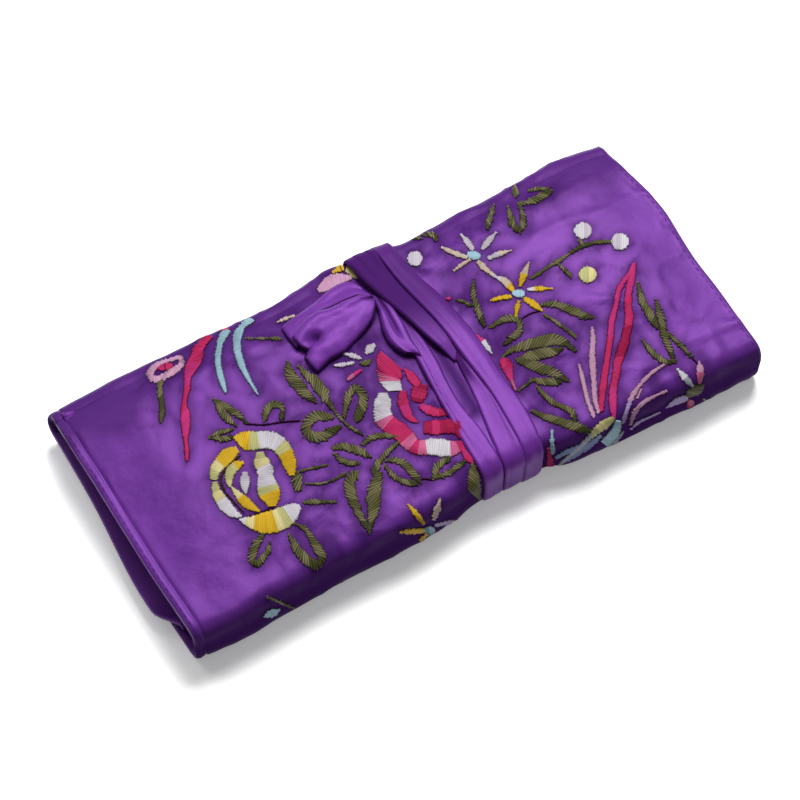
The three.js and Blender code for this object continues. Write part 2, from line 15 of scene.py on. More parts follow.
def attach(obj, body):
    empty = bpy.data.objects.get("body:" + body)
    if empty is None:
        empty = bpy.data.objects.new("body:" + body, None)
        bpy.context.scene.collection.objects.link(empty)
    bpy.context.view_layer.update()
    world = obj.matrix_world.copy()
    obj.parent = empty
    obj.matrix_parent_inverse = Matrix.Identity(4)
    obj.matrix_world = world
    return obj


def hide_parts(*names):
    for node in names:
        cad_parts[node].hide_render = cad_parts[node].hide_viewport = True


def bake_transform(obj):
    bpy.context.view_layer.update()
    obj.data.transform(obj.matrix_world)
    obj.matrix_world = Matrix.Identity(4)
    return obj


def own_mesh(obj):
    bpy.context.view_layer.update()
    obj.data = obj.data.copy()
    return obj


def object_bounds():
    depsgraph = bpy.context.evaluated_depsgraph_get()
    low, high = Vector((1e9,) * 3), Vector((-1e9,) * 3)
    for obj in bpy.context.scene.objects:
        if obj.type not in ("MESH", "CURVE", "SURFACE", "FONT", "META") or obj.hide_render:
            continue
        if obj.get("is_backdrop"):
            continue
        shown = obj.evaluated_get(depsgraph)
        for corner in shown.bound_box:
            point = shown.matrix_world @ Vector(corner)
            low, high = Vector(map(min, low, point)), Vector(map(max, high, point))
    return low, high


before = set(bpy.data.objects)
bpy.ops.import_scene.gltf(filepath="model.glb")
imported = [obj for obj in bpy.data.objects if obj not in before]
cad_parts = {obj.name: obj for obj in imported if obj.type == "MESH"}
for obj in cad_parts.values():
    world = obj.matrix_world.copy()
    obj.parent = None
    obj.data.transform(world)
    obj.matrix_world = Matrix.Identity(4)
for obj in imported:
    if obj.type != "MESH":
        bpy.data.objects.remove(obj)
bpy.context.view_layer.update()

# Satin cover, outer flap and top panel. One piece of purple satin runs from the back edge of the
# outer flap, under the roll, round the front fold and over the top. Its ends are turned in over the
# wadding and stitched down 3 mm in, and the strap draws it in, so it lies in soft folds beside it.
MM = 0.001
HALF_LENGTH, HALF_DEPTH = 100.0, 47.0
FRONT_Y, BACK_Y = -38.0, 41.5
OUTER_BACK_Y, INNER_FRONT_Y = 43.5, -36.0
FRONT_DEPTH, BACK_DEPTH = 9.0, 5.5
TOP_Z = 17.92
CROWN_EDGE, CROWN_MIDDLE = 0.8, 2.2
INNER_Z, INNER_FALL = 7.69, 3.6
END_REACH, END_FALL = 24.0, 1.2
BACK_FALL = 2.6
RIM, RIM_TURN_IN, RIM_ROWS, HEM_ROWS = 1.4, 5.0, 7, 6
CLOTH_STEP = 1.35
GROOVE_IN, GROOVE_DEEP, GROOVE_WIDE = 3.2, 0.42, 0.55
GROOVE_RIGHT = 0.06
TIE_X, TIE_HALF, WAIST_REACH = 13.5, 11.3, 25.0
RECESS = 1.8
# Painted shade: how dark the satin is drawn where its "deep" mark is full, and how strongly the
# back of the top panel and the wedges rising from the front fold are painted in shade; then the
# gloss of unshaded satin.
PAINTED_SHADE_TONE, BACK_PAINTED_SHADE, WEDGE_PAINTED_SHADE, SATIN_GLOSS = 0.52, 0.54, 0.8, 0.3
FRONT_POWER, BACK_POWER = 0.52, 0.74
# How far out the cloth reaches, as the photo's outline shows: the front and back edge along the
# roll, and each end's edge from front to back.
FRONT_LINE = [(-100, 46.6), (-86, 47.4), (-75, 46.6), (-60, 45.9), (-45, 45.1), (-26, 45.4),
    (-12, 44.6), (1, 42.4), (24, 42.2), (31, 45.2), (50, 45.8), (75, 46.6), (100, 46.2)]
BACK_LINE = [(-100, 46.4), (-86, 46.4), (-72, 46.2), (-38, 45.8), (-20, 45.6), (-10, 47.2),
    (-1, 48.6), (5, 46.4), (24, 44.2), (37, 45.8), (54, 46.6), (69, 47.6), (81, 48.4), (92, 48.6),
    (100, 47.2)]
LEFT_LINE = [(-47, -1.6), (-38, -1.2), (-20, -0.4), (0, -0.2), (20, 0.0), (36, 0.4), (47, -0.4)]
RIGHT_LINE = [(-47, -0.9), (-38, -1.1), (-28, -0.7), (-21, -0.4), (-8, -0.7), (3, 0.3), (12, 1.4),
    (24, 0.8), (32, -0.9), (47, -1.6)]


def link_piece(name, data):
    """An object of this data, in the scene."""
    piece = bpy.data.objects.new(name, data)
    bpy.context.collection.objects.link(piece)
    return piece


def smooth(t):
    """From 0 to 1 without a corner, as t goes from 0 to 1."""
    t = np.clip(t, 0.0, 1.0)
    return t * t * (3 - 2 * t)


def bell(t, wide):
    """1 at 0, falling off softly over that width."""
    return np.exp(-((t / wide) ** 2))


def rounded(v, power):
    """A sine or cosine made squarer, with its sign."""
    return np.sign(v) * np.abs(v) ** power


def waist(x):
    """1 where the strap draws the roll in, and 0 away from it."""
    return 1 - smooth((np.abs(x - TIE_X) - TIE_HALF) / (WAIST_REACH - TIE_HALF))


def end_share(x):
    """0 inside the roll, rising to 1 at its ends."""
    return smooth((np.abs(x) - (HALF_LENGTH - END_REACH)) / END_REACH)


def soft_table(points, blur):
    """A smooth function through a table of places and values."""
    step, steps, wide = 0.25, 520, 80
    places = np.arange(-steps, steps + 1) * step
    kernel = np.exp(-0.5 * (np.arange(-wide, wide + 1) * step / blur) ** 2)
    padded = np.pad(np.interp(places, *zip(*points)), wide, mode="edge")
    values = np.convolve(padded, kernel / kernel.sum(), mode="valid")
    return lambda x: np.interp(x, places, values)


front_line, back_line = soft_table(FRONT_LINE, 2.5), soft_table(BACK_LINE, 2.5)
left_line, right_line = soft_table(LEFT_LINE, 3.0), soft_table(RIGHT_LINE, 3.0)


def pinched(x, y):
    """y moved so that the folds reach as far as the photo's outline."""
    share = smooth((np.abs(y) / HALF_DEPTH - 0.4) / 0.6)
    reach = np.where(y < 0, front_line(x), back_line(x))
    return y * (1 - share) + y * share * reach / HALF_DEPTH


def end_shift(x, y, z):
    """How far the cloth's end reaches past its even place, at any height."""
    near = smooth((np.abs(x) - 70) / 30)
    return near * np.where(x < 0, -left_line(y), right_line(y))


def noise_at(x, y, z, scale, seed):
    """Smooth noise at each point, with that wavelength in millimetres."""
    points = np.stack(np.broadcast_arrays(x, y, z), -1)
    moved = points.reshape(-1, 3) / scale + (seed, -seed, seed)
    return np.array([noise.noise(p) for p in moved]).reshape(points.shape[:-1])


def top_level(x, y):
    """Height of the even top: crowned, lower at the ends and the back, flat at the waist."""
    across = np.clip((2 * y - FRONT_Y - BACK_Y) / (BACK_Y - FRONT_Y), -1, 1)
    loose, end = 1 - waist(x), end_share(x)
    crown = CROWN_EDGE + (CROWN_MIDDLE - CROWN_EDGE) * (1 - across**2)
    fall = BACK_FALL * smooth((y - BACK_Y + 9) / 12)
    return TOP_Z + loose * (crown * (1 - end) + CROWN_EDGE * end - fall) - END_FALL * end


def inner_level(x):
    """Height of the inner flap's underside."""
    return INNER_Z - INNER_FALL * end_share(x)


def fold_place(edge_y, reach, angle, power, low, high):
    """A place on a fold's outer surface, from its lower edge at -90 degrees to its upper at 90."""
    half = (high - low) / 2
    y = edge_y + reach * math.cos(angle) ** power
    return y, low + half + rounded(math.sin(angle), power) * half


def section(x, part, share):
    """Outer surface at x of one part of the folded cloth, at that share of the way along it."""
    bottom, inner = RECESS * waist(x), inner_level(x)
    if part == "outer":
        return OUTER_BACK_Y - RIM + (FRONT_Y - OUTER_BACK_Y + RIM) * share, bottom
    if part == "front":
        angle, high = math.pi * (share - 0.5), top_level(x, FRONT_Y)
        return fold_place(FRONT_Y, -FRONT_DEPTH, angle, FRONT_POWER, bottom, high)
    if part == "top":
        y = FRONT_Y + (BACK_Y - FRONT_Y) * share
        return y, top_level(x, y)
    if part == "back":
        angle, high = math.pi * (0.5 - share), top_level(x, BACK_Y)
        return fold_place(BACK_Y, BACK_DEPTH, angle, BACK_POWER, inner, high)
    return BACK_Y + (INNER_FRONT_Y + RIM - BACK_Y) * share, inner


def columns():
    """Stations along the roll: x, and how far round the end's rim the cloth has turned."""
    inside = HALF_LENGTH - RIM
    near = [inside - d for d in (0.0, 0.5, 0.95, 1.3, 1.6, 1.9, 2.2, 2.6, 3.2, 4.0, 5.0)][::-1]
    middle = np.linspace(-near[0], near[0], round(2 * near[0] / CLOTH_STEP) + 1)[1:-1]
    turned = [(inside, math.pi * (k + 1) / RIM_ROWS) for k in range(RIM_ROWS)]
    turned += [(inside - RIM_TURN_IN * k / 3, math.pi) for k in (1, 2, 3)]
    half = [(v, 0.0) for v in near] + turned
    return [(-v, b) for v, b in half[::-1]] + [(v, 0.0) for v in middle] + half


def cloth_piece(parts, hem_first, wrinkle, shift):
    """Rows of points over these parts of the section, with rims at both ends and one hem.

    The hem is turned in before the first row or after the last. Gives x, y, z and the rows."""
    xs, turn = np.array(columns()).T
    rows = [(part, k / count) for part, count in parts for k in range(count)]
    rows.append((parts[-1][0], 1.0))
    hem = [math.pi * (k + 1) / HEM_ROWS for k in range(HEM_ROWS)]
    if hem_first:
        rows, hems = [rows[0]] * HEM_ROWS + rows, hem[::-1] + [0.0] * len(rows)
    else:
        rows, hems = rows + [rows[-1]] * HEM_ROWS, [0.0] * len(rows) + hem
    base_y, base_z = np.zeros((2, len(rows), len(xs)))
    for i, (part, share) in enumerate(rows):
        base_y[i], base_z[i] = section(xs, part, share)
    base_y = pinched(xs, base_y)
    along_y, along_z = np.gradient(base_y, axis=0), np.gradient(base_z, axis=0)
    hidden = slice(HEM_ROWS) if hem_first else slice(-HEM_ROWS, None)
    edge = HEM_ROWS if hem_first else -HEM_ROWS - 2
    along_y[hidden], along_z[hidden] = along_y[edge], along_z[edge]
    size = np.maximum(np.hypot(along_y, along_z), 1e-9) * (-1 if hem_first else 1)
    along_y, along_z = along_y / size, along_z / size
    inward_y, inward_z = (-along_z, along_y) if hem_first else (along_z, -along_y)
    hem_turn = np.array(hems)[:, None] + 0 * xs
    end_turn = turn + 0 * base_y
    turned = np.maximum(hem_turn, end_turn)
    fade = np.cos(np.minimum(turned, math.pi / 2)) ** 2
    groove = GROOVE_DEEP * bell(HALF_LENGTH - np.abs(xs) - GROOVE_IN, GROOVE_WIDE) * fade
    deep = RIM * (1 - np.cos(turned)) + groove * np.where(xs < 0, 1.0, GROOVE_RIGHT)
    deep = deep - wrinkle(xs + 0 * base_y, base_y, base_z) * (0.35 + 0.65 * fade)
    px = xs + np.sign(xs) * RIM * np.sin(end_turn) + shift(xs, base_y, base_z)
    py = base_y + along_y * RIM * np.sin(hem_turn) + inward_y * deep
    pz = base_z + along_z * RIM * np.sin(hem_turn) + inward_z * deep
    return px, py, pz, rows


def grid_mesh(name, px, py, pz, flip=False):
    """A mesh from rows of points, in metres."""
    tall, wide = px.shape
    verts = np.stack([px, py, pz], -1).reshape(-1, 3) * MM
    a = np.arange(tall - 1)[:, None] * wide + np.arange(wide - 1)
    order = (a, a + wide, a + wide + 1, a + 1) if flip else (a, a + 1, a + wide + 1, a + wide)
    faces = np.stack(order, -1).reshape(-1, 4)
    mesh = bpy.data.meshes.new(name)
    mesh.from_pydata(verts.tolist(), [], faces.tolist())
    mesh.shade_smooth()
    return link_piece(name, mesh)


def creases(x, y, z, scale, seed):
    """Narrow crumpled ridges with soft ground between, as pressed satin takes them."""
    bend = 0.6 * scale * noise_at(x, y, z, 2.2 * scale, seed + 4.4)
    ridge = 1 - 2 * np.abs(noise_at(x + bend, y - bend, z, scale, seed))
    return np.clip(ridge, 0, 1) ** 5


def cover_wrinkle(x, y, z):
    """How far the satin stands out from its even shape."""
    broad = 0.55 * noise_at(x, y, z, 34.0, 3.1) + 0.3 * noise_at(x, y, z, 15.0, 8.4)
    pucker = 0.16 * noise_at(x, y, z, 6.5, 1.7)
    off = np.abs(x - TIE_X) - TIE_HALF
    gather = np.exp(-np.maximum(off, 0) / 11.0) * (off > -3)
    folds = 0.75 * gather * noise_at(x * 0.25, y, z, 6.0, 5.2)
    ripple = 0.8 * np.exp(-(HALF_LENGTH - np.abs(x)) / 7.0) * noise_at(x * 0.3, y, z, 13.0, 2.2)
    calm = smooth((x + 78) / 40)
    crumple = 0.5 * creases(x, y, z, 30.0, 6.6) + 0.34 * creases(x, y, z, 12.0, 2.9)
    return broad * 0.8 + pucker + folds + ripple + (0.3 + 0.7 * calm) * crumple - 0.2


def mark_painted_shade(mesh, deep):
    """Keeps the painted shade at each point, how much darker and less glossy the satin is drawn, in
    the attribute "deep".
    """
    mark = mesh.attributes.new("deep", "FLOAT", "POINT")
    mark.data.foreach_set("value", deep.astype(np.float32).ravel())


def paint_fold_shade(piece, rows, wide):
    """Paints shade where the satin turns round a fold, along the back of the top panel, and in
    wedges that rise from the front fold.
    """
    x = np.array([v.co.x for v in piece.data.vertices]).reshape(-1, wide) / MM
    round_fold, to_back, on_top = np.array([
        (math.sin(math.pi * share) ** 1.5 if part in ("front", "back") else 0.0,
         share if part == "top" else 2.0 * (part == "back" and share < 0.5),
         part == "top" or (part == "front" and share > 0.5))
        for part, share in rows
    ]).T[:, :, None]
    start = 0.88 - 0.14 * smooth((-x - 45) / 40) - 0.09 * smooth((x - 45) / 35)
    start = start + 0.05 * noise_at(x, 0, 0, 11.0, 3.7)
    wedge = 0.13 * np.clip(noise_at(x, 0, 0, 7.5, 5.1), 0, 1) * smooth((x + 70) / 20)
    front = WEDGE_PAINTED_SHADE * on_top * smooth((wedge - to_back) / 0.045)
    back = BACK_PAINTED_SHADE * smooth((to_back - start) / 0.12)
    mark_painted_shade(piece.data, np.maximum(round_fold, np.maximum(front, back)))


COVER_PARTS = [("outer", 44), ("front", 30), ("top", 62)]
px, py, pz, rows = cloth_piece(COVER_PARTS, True, cover_wrinkle, end_shift)
pz = np.maximum(pz, 0.02)
cover = grid_mesh("satin_cover", px, py, pz)
paint_fold_shade(cover, rows, px.shape[1])


def new_material(name):
    """A new material, its node tree and its shader."""
    material = bpy.data.materials.new(name)
    material.use_nodes = True
    return material, material.node_tree, material.node_tree.nodes["Principled BSDF"]


def set_inputs(tree, node, **inputs):
    """Sets a node's inputs to values, or links them to other nodes' outputs."""
    for name, value in inputs.items():
        socket = node.inputs[name.replace("_", " ")]
        if isinstance(value, bpy.types.NodeSocket):
            tree.links.new(value, socket)
        else:
            socket.default_value = value
    return node


def add_node(tree, kind, settings=(), **inputs):
    """A new node with these settings and inputs; a shader node's kind may be short."""
    node = tree.nodes.new(kind if "Node" in kind else "ShaderNode" + kind)
    for name, value in dict(settings).items():
        setattr(node, name, value)
    return set_inputs(tree, node, **inputs)


def satin(name, colour, dark, rough):
    """Satin: coloured highlights, soft clouds of a deeper shade, fine creases, a fine weave, and
    painted shade where "deep" is set.
    """
    material, tree, shader = new_material(name)
    here = add_node(tree, "TexCoord").outputs["Object"]
    cloud = add_node(tree, "TexNoise", Vector=here, Scale=55.0, Detail=3.0)
    spread = add_node(tree, "MapRange", Value=cloud.outputs["Fac"], From_Min=0.3, From_Max=0.62)
    tone = add_node(tree, "Mix", {"data_type": "RGBA"}, Factor=spread.outputs["Result"],
                    A=(*dark, 1), B=(*colour, 1))
    # Painted shade: where the "deep" attribute is set, the colour is drawn darker.
    turned = add_node(tree, "Attribute", {"attribute_name": "deep"}).outputs["Fac"]
    shade = add_node(tree, "Mix", {"data_type": "RGBA"}, Factor=turned, A=tone.outputs["Result"],
                     B=(*(c * PAINTED_SHADE_TONE for c in dark), 1))
    # The painted shade also takes the gloss away, so shaded satin shows no reflection.
    gloss = add_node(tree, "MapRange", Value=turned, To_Min=SATIN_GLOSS, To_Max=0.0)
    threads = add_node(tree, "TexWave", Vector=here, Scale=900.0, Distortion=1.2, Detail=1.0)
    slub = add_node(tree, "TexNoise", Vector=here, Scale=260.0, Detail=4.0, Roughness=0.62)
    uneven = add_node(tree, "Bump", Strength=0.35, Distance=0.0004, Height=slub.outputs["Fac"])
    weave = add_node(tree, "Bump", Strength=0.12, Distance=0.0002, Height=threads.outputs["Fac"],
                     Normal=uneven.outputs["Normal"])
    set_inputs(tree, shader, Specular_IOR_Level=SATIN_GLOSS)  # kept under the link, for the export
    set_inputs(tree, shader, Base_Color=shade.outputs["Result"], Roughness=rough,
               Specular_IOR_Level=gloss.outputs["Result"], Specular_Tint=(0.6, 0.2, 0.92, 1),
               Sheen_Weight=0.03, Sheen_Roughness=0.35, Sheen_Tint=(0.62, 0.42, 0.95, 1),
               Normal=weave.outputs["Normal"])
    return material


cover_satin = satin("cover_satin", (0.088, 0.02, 0.18), (0.064, 0.014, 0.14), 0.36)
cover.data.materials.append(cover_satin)
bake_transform(cover)
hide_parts("outer_flap_shell", "front_fold", "middle_shell")

# Satin cover, back fold and inner flap. The same cloth goes on from the top panel's back edge
# round the back fold, and lies face down as the underside of the inner flap. At the left end the
# inner flap sags and flares out past the other layers before it tucks inside the front fold.
FLARE_LEFT, FLARE_Y, FLARE_REACH = 2.4, -18.0, 25.0


def near_top(z):
    """0 on the inner flap, rising to 1 where its cloth goes over into the top panel."""
    return smooth((z - 9.5) / 6.0)


def inner_wrinkle(x, y, z):
    """How far the inner flap's satin stands out from its even shape."""
    broad = 0.5 * noise_at(x, y, z, 30.0, 6.3) + 0.2 * noise_at(x, y, z, 12.0, 9.4)
    ripple = 0.9 * np.exp(-(HALF_LENGTH - np.abs(x)) / 9.0) * noise_at(x * 0.3, y, z, 11.0, 4.2)
    return (broad * 0.7 + ripple) * (1 - near_top(z)) + cover_wrinkle(x, y, z) * near_top(z)


def inner_shift(x, y, z):
    """How far the inner flap's end reaches past its even place."""
    near = smooth((np.abs(x) - 66) / 34)
    left = -1.0 - FLARE_LEFT * bell(y - FLARE_Y, FLARE_REACH) + 5.0 * smooth((-26 - y) / 10)
    inner = near * np.where(x < 0, left, -1.5)
    return inner * (1 - near_top(z)) + end_shift(x, y, z) * near_top(z)


INNER_PARTS = [("back", 24), ("inner", 44)]
qx, qy, qz, rows = cloth_piece(INNER_PARTS, False, inner_wrinkle, inner_shift)
inner_cover = grid_mesh("inner_flap_satin", qx, qy, qz)
paint_fold_shade(inner_cover, rows, qx.shape[1])
inner_cover.data.materials.append(cover_satin)
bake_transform(inner_cover)
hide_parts("back_fold", "inner_flap_shell")

# Camera. It stands where the photo was taken from and looks down at the roll's middle. The
# embroidery and the strap's edges on top are placed through it.
CAMERA_AZIMUTH, CAMERA_ELEVATION = math.radians(-30.2), math.radians(58.6)
CAMERA_DISTANCE, SENSOR_WIDE, FOCAL_PIXELS, PHOTO_PIXELS = 0.9, 36.0, 2932.5, 800
TARGET = Vector((-0.00356, -0.00079, 0.00744))
forward = Vector((
    -math.sin(CAMERA_AZIMUTH) * math.cos(CAMERA_ELEVATION),
    math.cos(CAMERA_AZIMUTH) * math.cos(CAMERA_ELEVATION),
    -math.sin(CAMERA_ELEVATION),
))
camera_data = bpy.data.cameras.new("camera")
camera = link_piece("camera", camera_data)
camera.location = TARGET - forward * CAMERA_DISTANCE
camera.rotation_mode = "QUATERNION"
camera.rotation_quaternion = forward.to_track_quat("-Z", "Y")
camera_data.sensor_width = SENSOR_WIDE
camera_data.lens = FOCAL_PIXELS / PHOTO_PIXELS * SENSOR_WIDE
bpy.context.scene.camera = camera
camera_right = Vector((math.cos(CAMERA_AZIMUTH), math.sin(CAMERA_AZIMUTH), 0))
camera_up = camera_right.cross(forward)


def sight(across, down):
    """The way from the camera to a point of the photo."""
    right, up = (across - PHOTO_PIXELS / 2) / FOCAL_PIXELS, (PHOTO_PIXELS / 2 - down) / FOCAL_PIXELS
    return forward + camera_right * right + camera_up * up


# Embroidery. Rayon floss in satin stitch: each motif is a row of threads laid side by side across
# a spine, and leaves have a row on each side of their middle. Garden flowers in yellow, crimson
# and pale blue cross the cloth.
FLOSS = {
    "olive": (0.395, 0.39, 0.25), "moss": (0.50, 0.48, 0.34), "fern": (0.31, 0.31, 0.19),
    "gold": (0.83, 0.67, 0.18), "butter": (0.85, 0.80, 0.58), "lime": (0.74, 0.73, 0.50),
    "white": (0.82, 0.80, 0.83), "pearl": (0.77, 0.73, 0.78), "crimson": (0.74, 0.19, 0.39),
    "ruby": (0.61, 0.12, 0.29), "rose": (0.78, 0.40, 0.56), "magenta": (0.76, 0.22, 0.48),
    "blush": (0.80, 0.61, 0.73), "sky": (0.62, 0.75, 0.81), "teal": (0.42, 0.58, 0.64),
    "steel": (0.44, 0.50, 0.66), "silver": (0.62, 0.62, 0.68), "sand": (0.79, 0.71, 0.65),
    "lilac": (0.70, 0.61, 0.80), "umber": (0.27, 0.20, 0.16), "plum": (0.22, 0.08, 0.2),
}
FLOSS_LEVEL = 0.68
# Thread ends are drawn in this near black: partly a dark outline, partly painted shade where they
# sink into the cloth.
OUTLINE_AND_SHADE = (0.018, 0.006, 0.022)
# A row is its bands of colour, the slant of its threads in degrees, their spacing in photo pixels,
# and its spine as (across, down, width).
ROSE_YELLOW = [
    ("gold gold lime white white white lime gold gold gold", 0, 1.1, [(234, 438, 4), (241, 439, 14),
      (248, 441, 20), (256, 441, 19), (266, 440, 18), (275, 442, 18), (282, 448, 17),
      (287, 456, 15), (290, 465, 14), (292, 476, 7)]),
    ("gold gold butter lime", 0, 1.1, [(237, 450, 8), (229, 455, 15), (221, 463, 14),
      (215, 471, 11), (214, 480, 8)]),
    ("lime butter white white white", 0, 1.1, [(215, 483, 6), (216, 491, 10), (221, 500, 12),
      (227, 508, 13), (234, 514, 9), (242, 517, 3)]),
    ("gold lime lime butter", 0, 1.1, [(243, 463, 4), (238, 465, 9), (231, 471, 11), (229, 479, 9),
      (230, 487, 4)]),
    ("pearl white white", 0, 1.1, [(245, 473, 6), (245, 480, 11), (245, 487, 9), (246, 494, 3)]),
    ("butter gold gold", 0, 1.1, [(232, 488, 3), (239, 496, 9), (246, 503, 11), (253, 508, 8),
      (260, 512, 2)]),
    ("lime butter white white white lime gold gold", 0, 1.1, [(260, 453, 8), (261, 461, 15),
      (265, 470, 17), (266, 480, 17), (268, 489, 23), (271, 498, 19), (272, 507, 9)]),
    ("white butter gold gold gold butter lime white white", 0, 1.1, [(240, 520, 4), (248, 522, 11),
      (257, 523, 18), (268, 523, 23), (279, 520, 23), (288, 515, 21), (296, 509, 13),
      (300, 507, 5)]),
    ("umber", 0, 1.4, [(240, 456, 1.4), (226, 469, 2), (221, 478, 2), (224, 490, 2), (233, 501, 2),
      (245, 514, 1.4)]),
    ("plum", 0, 1.4, [(250, 517, 1.4), (262, 512, 1.8), (275, 507, 1.4)]),
]
ROSE_RED = [
    ("crimson crimson crimson rose white white", -26, 1.1, [(391, 361, 27), (389, 369, 29),
      (388, 377, 22), (391, 384, 18), (395, 391, 15)]),
    ("white white white rose crimson crimson crimson rose crimson rose "
     "white white white rose crimson", 0, 1.1, [
      (383, 394, 10), (383, 402, 17), (382, 411, 18), (384, 419, 19), (391, 426, 18),
      (400, 432, 18), (407, 439, 18), (413, 446, 16), (421, 448, 15), (432, 447, 17),
      (441, 448, 18), (450, 449, 16), (458, 447, 13), (464, 443, 6)]),
    ("crimson", 10, 1.1, [(405, 370, 4), (411, 377, 10), (418, 385, 8)]),
    ("ruby crimson ruby", 0, 1.1, [(421, 385, 14), (419, 393, 17), (417, 403, 12)]),
    ("crimson magenta crimson", 0, 1.1, [(403, 392, 8), (403, 402, 12), (406, 411, 11),
      (410, 418, 8), (418, 423, 3)]),
    ("magenta crimson ruby", 0, 1.1, [(420, 406, 5), (428, 410, 10), (437, 413, 9), (448, 412, 8)]),
    ("ruby crimson ruby ruby", 0, 1.1, [(424, 428, 12), (434, 428, 15), (444, 427, 15),
      (454, 426, 16)]),
    ("ruby", 0, 1.1, [(452, 414, 8), (457, 425, 12), (462, 438, 8)]),
    ("magenta crimson", 0, 1.1, [(463, 447, 4), (466, 454, 9), (471, 461, 7), (473, 465, 2)]),
]
RIBBONS = [
    ("crimson crimson magenta crimson magenta crimson", 35, 1.1, [(228, 329, 2), (214, 334, 6),
      (204, 342, 8), (198, 350, 11), (196, 358, 14), (192, 368, 12), (188, 378, 8), (187, 390, 7),
      (185, 400, 5), (184, 408, 7), (185, 416, 11), (186, 424, 10), (186, 432, 8), (186, 441, 5),
      (187, 452, 5), (187, 461, 3)]),
    ("sky", 20, 1.1, [(264, 311, 3), (250, 318, 7), (238, 324, 8), (228, 330, 8), (222, 339, 8),
      (219, 350, 7), (218, 362, 7), (220, 374, 7), (223, 384, 6), (226, 393, 3)]),
    ("sky", 20, 1.1, [(252, 320, 6), (243, 326, 7), (238, 335, 9), (237, 346, 9), (239, 357, 8),
      (243, 368, 7), (249, 380, 5), (258, 395, 2)]),
    ("magenta crimson", 30, 1.1, [(633, 265, 3), (629, 275, 6), (624, 281, 6), (619, 290, 6),
      (616, 305, 6), (612, 320, 7), (610, 340, 7), (607, 360, 7), (604, 380, 8), (602, 398, 7),
      (601, 412, 5)]),
    ("magenta crimson ruby crimson magenta", 30, 1.1, [(634, 264, 4), (632, 278, 7), (629, 290, 8),
      (628, 305, 8), (629, 320, 9), (626, 335, 9), (622, 350, 10), (618, 362, 9), (616, 375, 8),
      (613, 390, 8), (613, 405, 8), (614, 418, 4)]),
    ("blush", 30, 1.5, [(592, 328, 3), (593, 340, 6), (592, 355, 7), (593, 370, 7), (594, 385, 6),
      (595, 400, 6), (599, 414, 4)]),
    ("blush", 30, 1.5, [(579, 365, 2), (582, 377, 5), (585, 390, 5), (588, 402, 5), (594, 417, 5)]),
    ("blush blush lilac", 30, 1.5, [(664, 365, 3), (652, 373, 4), (642, 383, 4), (633, 395, 6),
      (628, 407, 5), (622, 424, 4)]),
    ("blush", 30, 1.5, [(641, 390, 2), (637, 399, 3)]),
    ("blush", 30, 1.5, [(666, 391, 2), (655, 396, 3), (644, 402, 4), (635, 411, 5), (630, 424, 4)]),
    ("lilac", 20, 1.5, [(659, 412, 2), (648, 417, 3), (638, 422, 3), (630, 429, 2)]),
    ("lime butter lime", 10, 1.1, [(613, 418, 4), (606, 423, 9), (598, 429, 8), (590, 436, 6)]),
    ("silver", 10, 1.1, [(592, 434, 5), (580, 446, 6), (570, 455, 5), (558, 465, 3)]),
    ("steel", 10, 1.1, [(600, 435, 4), (591, 443, 7), (578, 452, 6), (565, 461, 3)]),
    ("sky sky teal sky", 10, 1.1, [(618, 421, 6), (615, 431, 10), (607, 441, 11), (597, 449, 9),
      (585, 456, 7), (572, 463, 5), (559, 470, 3)]),
    ("silver", 10, 1.1, [(623, 431, 2), (612, 444, 4), (598, 453, 4), (586, 459, 2)]),
    ("sky", 10, 1.1, [(552, 430, 2), (552, 442, 5), (553, 454, 4)]),
    ("steel", 10, 1.1, [(556, 457, 3), (565, 452, 6), (575, 447, 4), (583, 443, 2)]),
    ("crimson magenta", 10, 1.1, [(548, 448, 2), (549, 456, 6), (550, 463, 8), (549, 471, 5)]),
    ("teal", 10, 1.1, [(552, 466, 5), (558, 468, 6), (564, 466, 3)]),
    ("sky", 10, 1.1, [(264, 616, 3), (271, 613, 9), (279, 609, 3)]),
]
